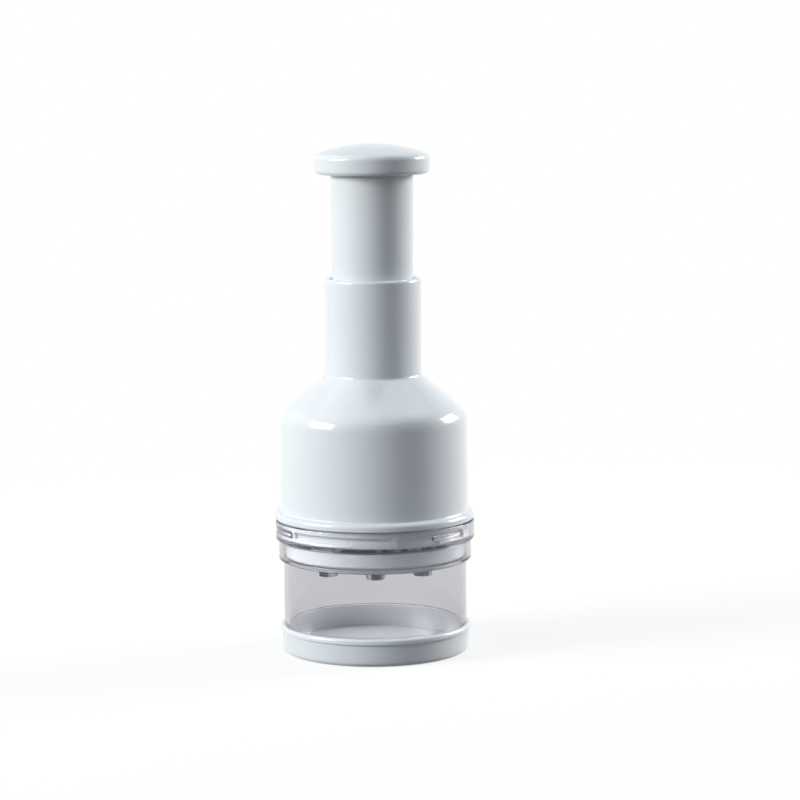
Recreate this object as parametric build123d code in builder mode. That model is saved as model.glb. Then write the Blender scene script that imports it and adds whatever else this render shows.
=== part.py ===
from build123d import *

import math
import os

os.makedirs("parts", exist_ok=True)

# Plunger food chopper. All sizes in millimetres, +Z up, origin at the centre of the rest face.
# The angles of the bayonet, the hooks and the ring's split are measured from the front (-Y).

# ---------------------------------------------------------------- clearances
running_gap = 0.3  # between pieces that move past each other
seat_gap = 0.05  # round a piece that is pushed into its seat
journal_gap = 0.08  # round the turning end of the spindle
cut_margin = 1.0  # how far a cut reaches past what it cuts

# ---------------------------------------------------------------- angles in degrees from +X
front_angle = -90.0
key_angle = 30.0
boss_angle = 90.0

# ---------------------------------------------------------------- base cap
cap_floor = 2.4
cap_depth = 8.9  # floor to rim top
cap_wall_radius = 38.5
cap_foot_radius = 37.9
cap_lip_radius = 39.3
cap_lip_height = 2.9
cap_foot_fillet = 2.2
cap_rim_fillet = 1.1
cap_foot_recess = 0.6
cap_foot_width = 3.0

# ---------------------------------------------------------------- clear cup
chamber_height = 36.4  # cap floor to the outer step under the wiper
step_height = 9.7
collar_height = 6.8
cup_bore_radius = 35.3
cup_wall = 2.0
tongue_wall = 1.3
step_widening = 2.5
collar_widening = 1.5
collar_wall = 1.6
ledge_thickness = 1.2
cup_edge_fillet = 0.9
cup_rim_fillet = 0.5

# ---------------------------------------------------------------- bayonet
lug_count = 3
lug_centre_angle = 49.0
lug_width_angle = 26.0
lug_height = 1.8
lug_depth = 1.2
rim_thickness = 1.4
twist_angle = 22.0  # locked to unlocked
stop_foot_height = 1.1
stop_foot_angle = 24.0
stop_post_angle = 4.0
end_rib_angle = 2.6
angle_gap = 0.4

# ---------------------------------------------------------------- housing
flange_thickness = 2.3
flange_edge_fillet = 1.0
body_height = 40.7
flange_overhang = 2.35  # beyond the foot of the body
body_draw_in = 0.85  # from the foot of the body to its shoulder
shoulder_height = 16.3
shoulder_fillet = 5.0
inner_shoulder_fillet = 3.0
neck_height = 40.1
neck_wall = 2.5
neck_rim_fillet = 1.2
neck_crease_fillet = 0.8
shell_wall = 2.2
skirt_wall = 2.2

# ---------------------------------------------------------------- plunger and knob
plunger_exposed = 42.6
plunger_top_radius = 17.0
plunger_draft = 0.4  # degrees
plunger_wall = 2.0
plunger_foot_gap = 3.0  # above the guide plate when pressed
stroke = 31.5
web_thickness = 3.0
web_drop = 8.6  # knob underside to web top
spigot_step = 1.1
spigot_height = 5.8
key_count = 3
key_width = 4.0
key_height = 4.1
key_reach = 1.15  # beyond the neck bore
neck_stop_depth = 3.7  # neck top to the end of the key grooves
knob_height = 12.4
knob_radius = 23.9
knob_rim_radius = 22.2
knob_rim_height = 7.2
knob_foot_inset = 0.3
knob_belly_height = 3.4
knob_brow_width = 1.0
knob_brow_height = 1.2
knob_edge_fillet = 2.0
knob_socket_wall = 2.0
knob_side_wall = 2.7
knob_channel_depth = 5.0
knob_rib_count = 8
knob_rib_thickness = 1.4

# ---------------------------------------------------------------- blade and its drive
blade_floor_gap = 0.5  # tips to cap floor when pressed
blade_thickness = 0.6
blade_circle_radius = 30.0
fold_radius = 3.4  # middle of the strip
fold_pitch = 9.5
blade_bevel = 0.22
blade_seat_depth = 1.5
tail_length = 29.0
tab_width = 6.0
tab_offset = 13.0
tab_slot_width = 1.2
carrier_overhang = 2.0
carrier_thickness = 2.4
carrier_rim_height = 1.6
carrier_rim_width = 1.6
backing_thickness = 1.0
backing_radius = 22.0
hub_radius = 7.5
hub_height = 4.5
hub_bevel = 0.5
spindle_across = 8.0
spindle_corner = 1.0
spindle_turn = 30.0  # degrees of rotation per stroke
spindle_socket_depth = 3.9
shaft_radius = 3.6
journal_radius = 2.8

# ---------------------------------------------------------------- guide plate, ratchet nut, spring
hub_to_plate = 0.8
plate_thickness = 2.8
plate_hub_radius = 13.0
plate_flare = 2.0
plate_arm_width = 9.0
plate_fillet = 2.0
nut_radius = 10.6
nut_height = 6.6
nut_bevel = 0.6
tooth_count = 12
tooth_height = 1.2
tooth_inner_radius = 7.4
tooth_outer_radius = 10.4
tooth_gap = 0.12
tooth_sink = 0.3
tooth_overrun = 2.0
spiral_overrun = 2.0
boss_count = 3
boss_circle_radius = 27.5
boss_radius = 4.0
washer_thickness = 0.8
nut_washer_inset = 0.4
wire_radius = 0.7
coil_radius = 8.6
active_turns = 6
wire_sides = 6
dead_pitch = 2.2
samples_per_arc = 6  # for the least gap between turns
arcs_per_turn = 8

# ---------------------------------------------------------------- wiper and its ring
wiper_plate_thickness = 2.0
wiper_spigot_depth = 1.6
wiper_rim_height = 5.9
wiper_rim_clearance = 0.8
wiper_rib_height = 0.7
wiper_neck_wall = 1.0
wiper_edge_fillet = 0.8
slot_clearance = 0.5
carrier_bore_gap = 0.6
ring_thickness = 0.9
ring_width = 2.4
ring_split = 2.0
ring_split_angle = 35.0
lip_thickness = 1.7
hook_height = 1.4
hook_reach = 1.4
hook_angle = 20.0

# ---------------------------------------------------------------- screws
screw_radius = 1.3
screw_head_radius = 2.8
screw_head_height = 1.8
screw_head_bevel = 0.7
screw_tip_bevel = 0.5
screw_end_room = 1.0  # past the tip of a screw in its hole
screw_head_sink = 0.1
drive_width = 0.8
drive_depth = 0.9
plate_screw_length = 9.0
spindle_screw_length = 10.0
carrier_screw_length = 8.0
carrier_washer_thickness = 0.5
carrier_washer_flange = 0.2  # beyond the screw's head
spindle_washer_radius = 5.8

# ---------------------------------------------------------------- heights up the axis
cap_rim_z = cap_floor + cap_depth
step_z = cap_floor + chamber_height
collar_z = step_z + step_height
cup_top_z = collar_z + collar_height
flange_z = cup_top_z + running_gap
body_z = flange_z + flange_thickness
shoulder_z = body_z + body_height
neck_z = shoulder_z + shoulder_height
neck_top_z = neck_z + neck_height
knob_z = neck_top_z + plunger_exposed
knob_top_z = knob_z + knob_height
ledge_z = step_z + ledge_thickness
wiper_shoulder_z = ledge_z + running_gap
wiper_bottom_z = wiper_shoulder_z - wiper_spigot_depth
wiper_plate_z = wiper_bottom_z + wiper_plate_thickness
wiper_rim_z = wiper_shoulder_z + wiper_rim_height
ring_z = wiper_rim_z + wiper_rib_height
lip_z = ring_z + ring_thickness + running_gap
lip_top_z = lip_z + lip_thickness
collar_ledge_z = collar_z + ledge_thickness
lug_z = collar_ledge_z + 2 * running_gap + rim_thickness
tip_z = cap_floor + blade_floor_gap + stroke
carrier_z = wiper_plate_z + running_gap + stroke
carrier_top_z = carrier_z + carrier_thickness
backing_top_z = carrier_top_z + backing_thickness
hub_top_z = carrier_top_z + hub_height
plate_z = hub_top_z + hub_to_plate
plate_top_z = plate_z + plate_thickness
nut_z = plate_top_z + tooth_height + tooth_gap
nut_top_z = nut_z + nut_height
spring_z = nut_top_z + washer_thickness
web_top_z = knob_z - web_drop
web_z = web_top_z - web_thickness
plunger_foot_z = plate_top_z + plunger_foot_gap + stroke
key_top_z = neck_top_z - neck_stop_depth

# ---------------------------------------------------------------- radii that follow
cup_radius = cup_bore_radius + cup_wall
tongue_radius = cup_bore_radius + tongue_wall
step_bore_radius = cup_bore_radius + step_widening
collar_bore_radius = step_bore_radius + collar_widening
step_radius = step_bore_radius + collar_wall
collar_radius = collar_bore_radius + collar_wall
lug_radius = collar_bore_radius - lug_depth
skirt_radius = collar_bore_radius - running_gap
groove_radius = lug_radius - running_gap
skirt_foot_radius = step_bore_radius - running_gap
skirt_bore_radius = groove_radius - skirt_wall
flange_radius = collar_radius + running_gap
body_bottom_radius = flange_radius - flange_overhang
body_top_radius = body_bottom_radius - body_draw_in
neck_bore_radius = plunger_top_radius + running_gap + seat_gap
neck_radius = neck_bore_radius + neck_wall
carrier_radius = blade_circle_radius + carrier_overhang
wiper_neck_bore = carrier_radius + carrier_bore_gap
wiper_neck_radius = wiper_neck_bore + wiper_neck_wall
lip_radius = wiper_neck_radius + running_gap
hook_radius = wiper_neck_radius + hook_reach
wiper_radius = step_bore_radius - wiper_rim_clearance
wiper_spigot_radius = cup_bore_radius - running_gap
ring_bore_radius = wiper_neck_radius + seat_gap
ring_middle_radius = ring_bore_radius + ring_width / 2
plunger_bore_radius = plunger_top_radius - plunger_wall - (knob_z - plunger_foot_z) * math.tan(
    math.radians(plunger_draft)
)
spigot_radius = plunger_top_radius - spigot_step
spindle_hole_radius = spindle_across / 2 * math.sqrt(2) + running_gap


def ring_sector(inner: float, outer: float, start: float, end: float) -> Sketch:
    """The face between two radii and two angles from the front."""
    with BuildSketch() as sector:
        with BuildLine():
            arc_out = CenterArc((0, 0), outer, front_angle + start, end - start)
            arc_in = CenterArc((0, 0), inner, front_angle + start, end - start)
            Line(arc_in @ 0, arc_out @ 0)
            Line(arc_in @ 1, arc_out @ 1)
        make_face()
    return sector.sketch


def around(count: int, first_angle: float = 0.0) -> PolarLocations:
    """Turned places on the axis, one for each of a ring of equal features."""
    return PolarLocations(0, count, start_angle=first_angle)


def screw(length: float, head_z: float, tip_up: bool) -> Part:
    """A round-headed slotted screw on the axis with the underside of its head at head_z."""
    sign = 1 if tip_up else -1
    with BuildPart() as body:
        with BuildSketch(Plane.XY.offset(head_z)):
            Circle(screw_head_radius)
        extrude(amount=-sign * screw_head_height)
        crown = body.faces().sort_by(Axis.Z)[0 if tip_up else -1]
        chamfer(crown.edges(), screw_head_bevel)
        with BuildSketch(Plane.XY.offset(head_z)):
            Circle(screw_radius)
        extrude(amount=sign * length)
        tip = body.faces().sort_by(Axis.Z)[-1 if tip_up else 0]
        chamfer(tip.edges(), screw_tip_bevel)
        with BuildSketch(Plane.XY.offset(head_z - sign * screw_head_height)):
            Rectangle(2 * screw_head_radius, drive_width)
        extrude(amount=sign * drive_depth, mode=Mode.SUBTRACT)
    return body.part


# ---------------------------------------------------------------- base cap
cap_bore_radius = tongue_radius + running_gap
with BuildPart() as base_cap:
    with BuildSketch(Plane.XZ):
        with BuildLine():
            FilletPolyline(
                (0, cap_foot_recess),
                (cap_foot_radius - cap_foot_fillet - cap_foot_width, cap_foot_recess),
                (cap_foot_radius - cap_foot_fillet - cap_foot_width, 0),
                (cap_foot_radius, 0),
                (cap_wall_radius, cap_rim_z - cap_lip_height),
                (cap_lip_radius, cap_rim_z - cap_lip_height),
                (cap_lip_radius, cap_rim_z),
                (cap_bore_radius, cap_rim_z),
                (cap_bore_radius, cap_floor),
                (0, cap_floor),
                radius=[0, 0, cap_foot_fillet, 0, 0, cap_rim_fillet, 0, 0],
            )
            Line((0, cap_floor), (0, cap_foot_recess))
        make_face()
    revolve(axis=Axis.Z)
base_cap.part.label = "base_cap"
export_step(base_cap.part, "parts/base_cap.step")

# ---------------------------------------------------------------- clear cup with its bayonet lugs
lug_section = ring_sector(
    lug_radius,
    collar_bore_radius + collar_wall / 2,
    lug_centre_angle - lug_width_angle / 2,
    lug_centre_angle + lug_width_angle / 2,
)
with BuildPart() as chopping_cup:
    with BuildSketch(Plane.XZ):
        with BuildLine():
            FilletPolyline(
                (cup_bore_radius, cap_floor),
                (tongue_radius, cap_floor),
                (tongue_radius, cap_rim_z + running_gap),
                (cup_radius, cap_rim_z + running_gap),
                (cup_radius, step_z),
                (step_radius, step_z),
                (step_radius, collar_z),
                (collar_radius, collar_z),
                (collar_radius, cup_top_z),
                (collar_bore_radius, cup_top_z),
                (collar_bore_radius, collar_ledge_z),
                (step_bore_radius, collar_ledge_z),
                (step_bore_radius, ledge_z),
                (cup_bore_radius, ledge_z),
                radius=[0] * 5 + [cup_edge_fillet, 0, cup_edge_fillet, cup_rim_fillet] + [0] * 5,
                close=True,
            )
        make_face()
    revolve(axis=Axis.Z)
    with BuildSketch(Plane.XY.offset(lug_z)):
        with around(lug_count):
            add(lug_section)
    extrude(amount=lug_height)
chopping_cup.part.label = "chopping_cup"
export_step(chopping_cup.part, "parts/chopping_cup.step")

# ---------------------------------------------------------------- housing shell
shoulder_slope = shoulder_height / (body_top_radius - neck_radius)
shoulder_drop = shell_wall * math.sqrt(1 + shoulder_slope**2)
inner_top_radius = body_top_radius - shell_wall
inner_shoulder_z = shoulder_z + shell_wall * shoulder_slope - shoulder_drop
bore_foot_z = shoulder_z + (body_top_radius - neck_bore_radius) * shoulder_slope - shoulder_drop
rim_z = collar_ledge_z + running_gap
groove_top_z = lug_z + lug_height + running_gap
stop_post_end = lug_centre_angle - lug_width_angle / 2 - twist_angle - angle_gap
lock_start = lug_centre_angle + lug_width_angle / 2 + angle_gap
foot_start = stop_post_end - stop_post_angle - stop_foot_angle
rim_top_z = rim_z + rim_thickness
cut_radius = skirt_radius + cut_margin
travel_section = ring_sector(groove_radius, cut_radius, stop_post_end, lock_start)
spare_section = ring_sector(
    groove_radius, cut_radius, lock_start + end_rib_angle, foot_start + 360 / lug_count
)
over_foot_section = ring_sector(
    groove_radius, cut_radius, foot_start - end_rib_angle, stop_post_end - stop_post_angle
)
entry_section = ring_sector(
    groove_radius, cut_radius, stop_post_end, lock_start - twist_angle
)
# screw bosses that hang from the shoulder, cut off at the middle of its wall
with BuildPart() as screw_bosses:
    with BuildSketch(Plane.XY.offset(plate_top_z)):
        with PolarLocations(boss_circle_radius, boss_count, start_angle=boss_angle):
            Circle(boss_radius)
    extrude(amount=neck_z - plate_top_z)
    with BuildSketch(Plane.XZ):
        with BuildLine():
            Polyline(
                (0, plate_top_z),
                (body_top_radius, plate_top_z),
                (body_top_radius, shoulder_z - shoulder_drop / 2),
                (0, shoulder_z - shoulder_drop / 2 + body_top_radius * shoulder_slope),
                close=True,
            )
        make_face()
    revolve(axis=Axis.Z, mode=Mode.INTERSECT)
with BuildPart() as housing_shell:
    with BuildSketch(Plane.XZ):
        with BuildLine():
            FilletPolyline(
                (lip_radius, lip_z),
                (ring_middle_radius, lip_z),
                (ring_middle_radius, lip_z + running_gap),
                (skirt_foot_radius, lip_z + running_gap),
                (skirt_foot_radius, rim_z),
                (skirt_radius, rim_z),
                (skirt_radius, flange_z),
                (flange_radius, flange_z),
                (flange_radius, body_z),
                (body_bottom_radius, body_z),
                (body_top_radius, shoulder_z),
                (neck_radius, neck_z),
                (neck_radius, neck_top_z),
                (neck_bore_radius, neck_top_z),
                (neck_bore_radius, bore_foot_z),
                (inner_top_radius, inner_shoulder_z),
                (body_bottom_radius - shell_wall, body_z),
                (skirt_bore_radius, flange_z),
                (skirt_bore_radius, lip_top_z),
                (lip_radius, lip_top_z),
                radius=[0] * 8
                + [flange_edge_fillet, 0, shoulder_fillet, neck_crease_fillet]
                + [neck_rim_fillet, neck_crease_fillet, 0, inner_shoulder_fillet]
                + [0] * 4,
                close=True,
            )
        make_face()
    revolve(axis=Axis.Z)
    # groove for the cup's lugs: a post closes it at the open end and a rib at the locked end
    with BuildSketch(Plane.XY.offset(rim_top_z)):
        with around(lug_count):
            add(travel_section)
            add(spare_section)
    extrude(amount=groove_top_z - rim_top_z, mode=Mode.SUBTRACT)
    # the groove is lower over the foot of each post, which makes an L
    with BuildSketch(Plane.XY.offset(rim_top_z + stop_foot_height)):
        with around(lug_count):
            add(over_foot_section)
    extrude(amount=groove_top_z - rim_top_z - stop_foot_height, mode=Mode.SUBTRACT)
    # entry gaps in the rim below the groove
    with BuildSketch(Plane.XY.offset(rim_z - running_gap)):
        with around(lug_count):
            add(entry_section)
    extrude(amount=rim_thickness + 2 * running_gap, mode=Mode.SUBTRACT)
    # blind key grooves in the neck bore, open below
    with BuildSketch(Plane.XY.offset(key_top_z)):
        with PolarLocations(neck_bore_radius, key_count, start_angle=key_angle):
            Rectangle(2 * (key_reach + running_gap), key_width + 2 * running_gap)
    extrude(amount=-(key_top_z - bore_foot_z) - shell_wall * 2, mode=Mode.SUBTRACT)
    add(screw_bosses.part)
    with BuildSketch(Plane.XY.offset(plate_top_z)):
        with PolarLocations(boss_circle_radius, boss_count, start_angle=boss_angle):
            Circle(screw_radius + seat_gap)
    extrude(amount=plate_screw_length, mode=Mode.SUBTRACT)
housing_shell.part.label = "housing_shell"
export_step(housing_shell.part, "parts/housing_shell.step")


# ---------------------------------------------------------------- ratchet teeth
def saw_tooth(base_z: float) -> Solid:
    """One saw tooth, sunk in its base: it climbs round the axis and drops on a radial face."""
    step = math.radians(360 / tooth_count)
    sections = []
    for radius in (tooth_inner_radius - tooth_overrun, tooth_outer_radius + tooth_overrun):
        x = radius * math.cos(step)
        y = radius * math.sin(step)
        corners = [
            (radius, 0, base_z - tooth_sink),
            (x, y, base_z - tooth_sink),
            (x, y, base_z + tooth_height),
            (radius, 0, base_z),
        ]
        sections.append(Wire.make_polygon(corners, close=True))
    return Solid.make_loft(sections, ruled=True)


# ---------------------------------------------------------------- guide plate
tooth = saw_tooth(plate_top_z)
with BuildPart() as ratchet_teeth:
    with around(tooth_count):
        add(tooth)
    with BuildSketch(Plane.XY.offset(plate_top_z - tooth_sink)):
        Circle(tooth_outer_radius)
        Circle(tooth_inner_radius, mode=Mode.SUBTRACT)
    extrude(amount=tooth_sink + tooth_height, mode=Mode.INTERSECT)
with BuildPart() as guide_plate:
    with BuildSketch(Plane.XY.offset(plate_z)):
        Circle(plate_hub_radius + plate_flare)
        with PolarLocations(boss_circle_radius / 2, boss_count, start_angle=boss_angle):
            SlotCenterToCenter(boss_circle_radius, plate_arm_width)
    extrude(amount=plate_thickness)
    fillet(guide_plate.edges().filter_by(Axis.Z), plate_fillet)
    with BuildSketch(Plane.XY.offset(plate_top_z)):
        Circle(plate_hub_radius)
    extrude(amount=nut_top_z - plate_top_z)
    with BuildSketch(Plane.XY.offset(plate_top_z)):
        Circle(nut_radius + running_gap)
    extrude(amount=nut_top_z - plate_top_z, mode=Mode.SUBTRACT)
    add(ratchet_teeth.part)
    with BuildSketch(Plane.XY.offset(plate_z)):
        Circle(spindle_hole_radius)
        with PolarLocations(boss_circle_radius, boss_count, start_angle=boss_angle):
            Circle(screw_radius + running_gap)
    extrude(amount=plate_thickness, mode=Mode.SUBTRACT)
guide_plate.part.label = "guide_plate"
export_step(guide_plate.part, "parts/guide_plate.step")

plate_screw_reach = plate_thickness + plate_screw_length - screw_end_room
plate_screw = screw(plate_screw_reach, plate_z, tip_up=True)
with BuildPart() as plate_screws:
    with PolarLocations(boss_circle_radius, boss_count, start_angle=boss_angle):
        add(plate_screw)
plate_screws.part.label = "plate_screws"
export_step(plate_screws.part, "parts/plate_screws.step")

# ---------------------------------------------------------------- spiral spindle and its nut
spiral_start_z = hub_top_z
spiral_end_z = nut_top_z + stroke + spiral_overrun
turn_per_mm = spindle_turn / stroke
with BuildSketch() as spindle_section:
    RectangleRounded(spindle_across, spindle_across, spindle_corner)
with BuildSketch() as nut_section:
    nut_across = spindle_across + 2 * running_gap
    RectangleRounded(nut_across, nut_across, spindle_corner + running_gap)


def spiral_bar(section: Sketch, start_z: float, end_z: float) -> Solid:
    """A bar of constant section that turns by the spindle's lead from the spiral's start."""
    length = end_z - start_z
    face = section.face().moved(Location((0, 0, start_z)))
    face = face.rotate(Axis.Z, turn_per_mm * (start_z - spiral_start_z))
    return Solid.extrude_linear_with_rotation(
        face, (0, 0, start_z), (0, 0, length), turn_per_mm * length
    )


spindle_spiral = spiral_bar(spindle_section.sketch, spiral_start_z, spiral_end_z)
with BuildPart() as blade_spindle:
    add(spindle_spiral)
    with BuildSketch(Plane.XY.offset(hub_top_z - spindle_socket_depth)):
        RectangleRounded(spindle_across, spindle_across, spindle_corner)
    extrude(amount=spindle_socket_depth)
    with BuildSketch(Plane.XY.offset(spiral_end_z)):
        Circle(shaft_radius)
    extrude(amount=web_z - seat_gap - spiral_end_z)
    with BuildSketch(Plane.XY.offset(web_z - seat_gap)):
        Circle(journal_radius)
    extrude(amount=web_thickness + 2 * seat_gap)
    with BuildSketch(Plane.XY.offset(web_top_z + seat_gap)):
        Circle(screw_radius + seat_gap)
    extrude(amount=-spindle_screw_length, mode=Mode.SUBTRACT)
    with BuildSketch(Plane.XY.offset(hub_top_z - spindle_socket_depth)):
        Circle(screw_radius + seat_gap)
    extrude(amount=carrier_screw_length, mode=Mode.SUBTRACT)
blade_spindle.part.label = "blade_spindle"
export_step(blade_spindle.part, "parts/blade_spindle.step")

nut_foot_z = nut_z - tooth_height
nut_spiral = spiral_bar(nut_section.sketch, nut_foot_z - cut_margin, nut_top_z + cut_margin)
tooth_space = saw_tooth(nut_foot_z)
with BuildPart() as index_nut:
    with BuildSketch(Plane.XY.offset(nut_foot_z)):
        Circle(tooth_outer_radius)
    extrude(amount=tooth_height)
    with around(tooth_count):
        add(tooth_space, mode=Mode.SUBTRACT)
    with BuildSketch(Plane.XY.offset(nut_foot_z)):
        Circle(tooth_inner_radius)
    extrude(amount=tooth_height, mode=Mode.SUBTRACT)
    with BuildSketch(Plane.XY.offset(nut_z)):
        Circle(nut_radius)
    extrude(amount=nut_height)
    chamfer(index_nut.faces().sort_by(Axis.Z)[-1].edges(), nut_bevel)
    add(nut_spiral, mode=Mode.SUBTRACT)
index_nut.part.label = "index_nut"
export_step(index_nut.part, "parts/index_nut.step")

with BuildPart() as nut_washer:
    with BuildSketch(Plane.XY.offset(nut_top_z)):
        Circle(nut_radius - nut_washer_inset)
        Circle(spindle_hole_radius, mode=Mode.SUBTRACT)
    extrude(amount=washer_thickness)
nut_washer.part.label = "nut_washer"
export_step(nut_washer.part, "parts/nut_washer.step")

# ---------------------------------------------------------------- return spring
quarter = math.pi / 2
dead_quarters = 5
active_quarters = active_turns * 4
spring_low_z = spring_z + wire_radius
spring_high_z = web_z - wire_radius
dead_rise = dead_pitch * dead_quarters / 4
active_step = (spring_high_z - spring_low_z - 2 * dead_rise) / active_quarters


def coil_heights() -> list[float]:
    """Height of the wire's middle at each quarter turn: close end coils, open ones between."""
    heights = [spring_low_z + dead_pitch / 4 * k for k in range(dead_quarters)]
    start = spring_low_z + dead_rise
    heights += [start + active_step * k for k in range(active_quarters)]
    heights += [spring_high_z - dead_rise + dead_pitch / 4 * k for k in range(dead_quarters + 1)]
    return heights


def coil_nodes(heights: list[float]) -> list[tuple[Vector, Vector]]:
    """Point and unit direction of the wire at each quarter turn."""
    nodes = []
    last = len(heights) - 1
    for k, z in enumerate(heights):
        before = heights[max(k - 1, 0)]
        after = heights[min(k + 1, last)]
        rise = (after - before) / (min(k + 1, last) - max(k - 1, 0)) / quarter
        angle = quarter * k
        point = Vector(coil_radius * math.cos(angle), coil_radius * math.sin(angle), z)
        way = Vector(-coil_radius * math.sin(angle), coil_radius * math.cos(angle), rise)
        nodes.append((point, way.normalized()))
    return nodes


def biarc(start: Vector, way_in: Vector, end: Vector, way_out: Vector) -> tuple[Vector, Vector]:
    """Joint and its direction for two arcs that leave start and reach end along their ways."""
    chord = end - start
    spread = 2 * (1 - way_in.dot(way_out))
    along = chord.dot(way_in + way_out)
    reach = (math.sqrt(along**2 + spread * chord.dot(chord)) - along) / spread
    joint = (start + end + (way_in - way_out) * reach) * 0.5
    way = ((end - way_out * reach) - (start + way_in * reach)).normalized()
    return joint, way


def least_gap(arcs: list[Edge]) -> float:
    """Least gap between the wire and itself, from half a turn to a turn and a half along it."""
    points = [arc @ (k / samples_per_arc) for arc in arcs for k in range(samples_per_arc)]
    half_turn = samples_per_arc * arcs_per_turn // 2
    nearest = math.inf
    for k, point in enumerate(points):
        for other in points[k + half_turn : k + 3 * half_turn]:
            nearest = min(nearest, (other - point).length)
    return nearest - 2 * wire_radius


coil = coil_nodes(coil_heights())
coil_arcs = []
with BuildPart() as return_spring:
    with BuildLine():
        for (start, way_in), (end, way_out) in zip(coil, coil[1:]):
            joint, joint_way = biarc(start, way_in, end, way_out)
            coil_arcs.append(TangentArc(start, joint, tangent=way_in))
            coil_arcs.append(TangentArc(joint, end, tangent=joint_way))
    with BuildSketch(Plane(origin=coil[0][0], z_dir=coil[0][1])):
        RegularPolygon(wire_radius, wire_sides)
    sweep()
return_spring.part.label = "return_spring"
export_step(return_spring.part, "parts/return_spring.step")
print("return spring: least gap to itself", round(least_gap(coil_arcs), 3), "mm")

# ---------------------------------------------------------------- plunger tube
draft = math.tan(math.radians(plunger_draft))
foot_radius = plunger_top_radius - (knob_z - plunger_foot_z) * draft
with BuildPart() as plunger_tube:
    with BuildSketch(Plane.XZ):
        with BuildLine():
            Polyline(
                (plunger_bore_radius, plunger_foot_z),
                (foot_radius, plunger_foot_z),
                (plunger_top_radius, knob_z),
                (spigot_radius, knob_z),
                (spigot_radius, knob_z + spigot_height),
                (spigot_radius - plunger_wall, knob_z + spigot_height),
                (spigot_radius - plunger_wall, web_top_z),
                (journal_radius + journal_gap, web_top_z),
                (journal_radius + journal_gap, web_z),
                (plunger_bore_radius, web_z),
                close=True,
            )
        make_face()
    revolve(axis=Axis.Z)
    with BuildSketch(Plane.XY.offset(key_top_z)):
        with PolarLocations(neck_bore_radius + key_reach, key_count, start_angle=key_angle):
            Rectangle(
                key_reach + plunger_wall, key_width, align=(Align.MAX, Align.CENTER)
            )
    extrude(amount=-key_height)
plunger_tube.part.label = "plunger_tube"
export_step(plunger_tube.part, "parts/plunger_tube.step")

# ---------------------------------------------------------------- knob
rim_corner_z = knob_z + knob_rim_height
channel_inner = spigot_radius + seat_gap + knob_socket_wall
channel_outer = knob_radius - knob_side_wall
dome_radius = (knob_rim_radius**2 + (knob_top_z - rim_corner_z) ** 2) / (2 * (knob_top_z - rim_corner_z))
with BuildPart() as knob:
    with BuildSketch(Plane.XZ) as knob_profile:
        with BuildLine():
            dome = RadiusArc((knob_rim_radius, rim_corner_z), (0, knob_top_z), -dome_radius)
            Polyline(
                (0, knob_top_z),
                (0, knob_z),
                (knob_radius - knob_foot_inset, knob_z),
                (knob_radius, knob_z + knob_belly_height),
                (knob_rim_radius + knob_brow_width, rim_corner_z - knob_brow_height),
                (knob_rim_radius, rim_corner_z),
            )
        make_face()
        rim_points = knob_profile.vertices().filter_by(lambda v: v.X > knob_rim_radius)
        fillet(rim_points.sort_by(Axis.Y)[0], knob_edge_fillet)
    revolve(axis=Axis.Z)
    with BuildSketch(Plane.XY.offset(knob_z)):
        Circle(spigot_radius + seat_gap)
    extrude(amount=spigot_height + seat_gap, mode=Mode.SUBTRACT)
    # channel round the socket, with ribs across it
    with BuildSketch(Plane.XY.offset(knob_z)):
        Circle(channel_outer)
        Circle(channel_inner, mode=Mode.SUBTRACT)
        with PolarLocations((channel_inner + channel_outer) / 2, knob_rib_count):
            Rectangle(channel_outer - channel_inner + cut_margin, knob_rib_thickness, mode=Mode.SUBTRACT)
    extrude(amount=knob_channel_depth, mode=Mode.SUBTRACT)
knob.part.label = "knob"
export_step(knob.part, "parts/knob.step")

# ---------------------------------------------------------------- zigzag blade
fold_circle = blade_circle_radius - fold_radius - blade_thickness / 2


def fold_centres() -> list[Vector]:
    """Centres of the five folds, in turn at the front and the back of the blade circle."""
    centres = []
    for k in range(-2, 3):
        side = -1 if k % 2 == 0 else 1
        x = k * fold_pitch
        centres.append(Vector(x, side * math.sqrt(fold_circle**2 - x**2)))
    return centres


def fold_ends() -> list[tuple[Vector, Vector]]:
    """Left and right ends of the arc round each fold; the outer ends lead to the tails."""
    centres = fold_centres()
    ends = []
    for k, centre in enumerate(centres):
        left = Vector(centre.X - fold_radius, centre.Y)
        right = Vector(centre.X + fold_radius, centre.Y)
        if k > 0:
            left = leg_point(centres[k - 1], centre, 1)
        if k + 1 < len(centres):
            right = leg_point(centre, centres[k + 1], 0)
        ends.append((left, right))
    return ends


def strip(width: float) -> Sketch:
    """The bent strip seen from above: arcs round the folds, joined by straight legs."""
    ends = fold_ends()
    tail = Vector(0, tail_length)
    with BuildSketch() as section:
        with BuildLine():
            Line(ends[0][0] + tail, ends[0][0])
            for k, (centre, (left, right)) in enumerate(zip(fold_centres(), ends)):
                crown = Vector(0, fold_radius) if k % 2 else Vector(0, -fold_radius)
                ThreePointArc(left, centre + crown, right)
                if k + 1 < len(ends):
                    Line(right, ends[k + 1][0])
            Line(ends[-1][1], ends[-1][1] + tail)
        trace(line_width=width)
    return section.sketch


def leg_point(first: Vector, second: Vector, end: int) -> Vector:
    """Where the straight leg between two folds touches the first (0) or second (1) fold."""
    span = second - first
    sign = 1 if span.Y > 0 else -1
    swing = sign * math.asin(2 * fold_radius / span.length)
    way = span.normalized().rotate(Axis.Z, math.degrees(swing))
    normal = Vector(way.Y, -way.X) * sign
    return first + normal * fold_radius if end == 0 else second - normal * fold_radius


def tab_places() -> list[tuple[float, float]]:
    """Middles of the blade's four tabs, on the inner legs and clear of the hub."""
    places = []
    ends = fold_ends()
    for k, y in enumerate((0, tab_offset, tab_offset, 0)):
        start = ends[k][1]
        end = ends[k + 1][0]
        share = (y - start.Y) / (end.Y - start.Y)
        places.append((start.X + share * (end.X - start.X), y))
    return places


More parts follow.
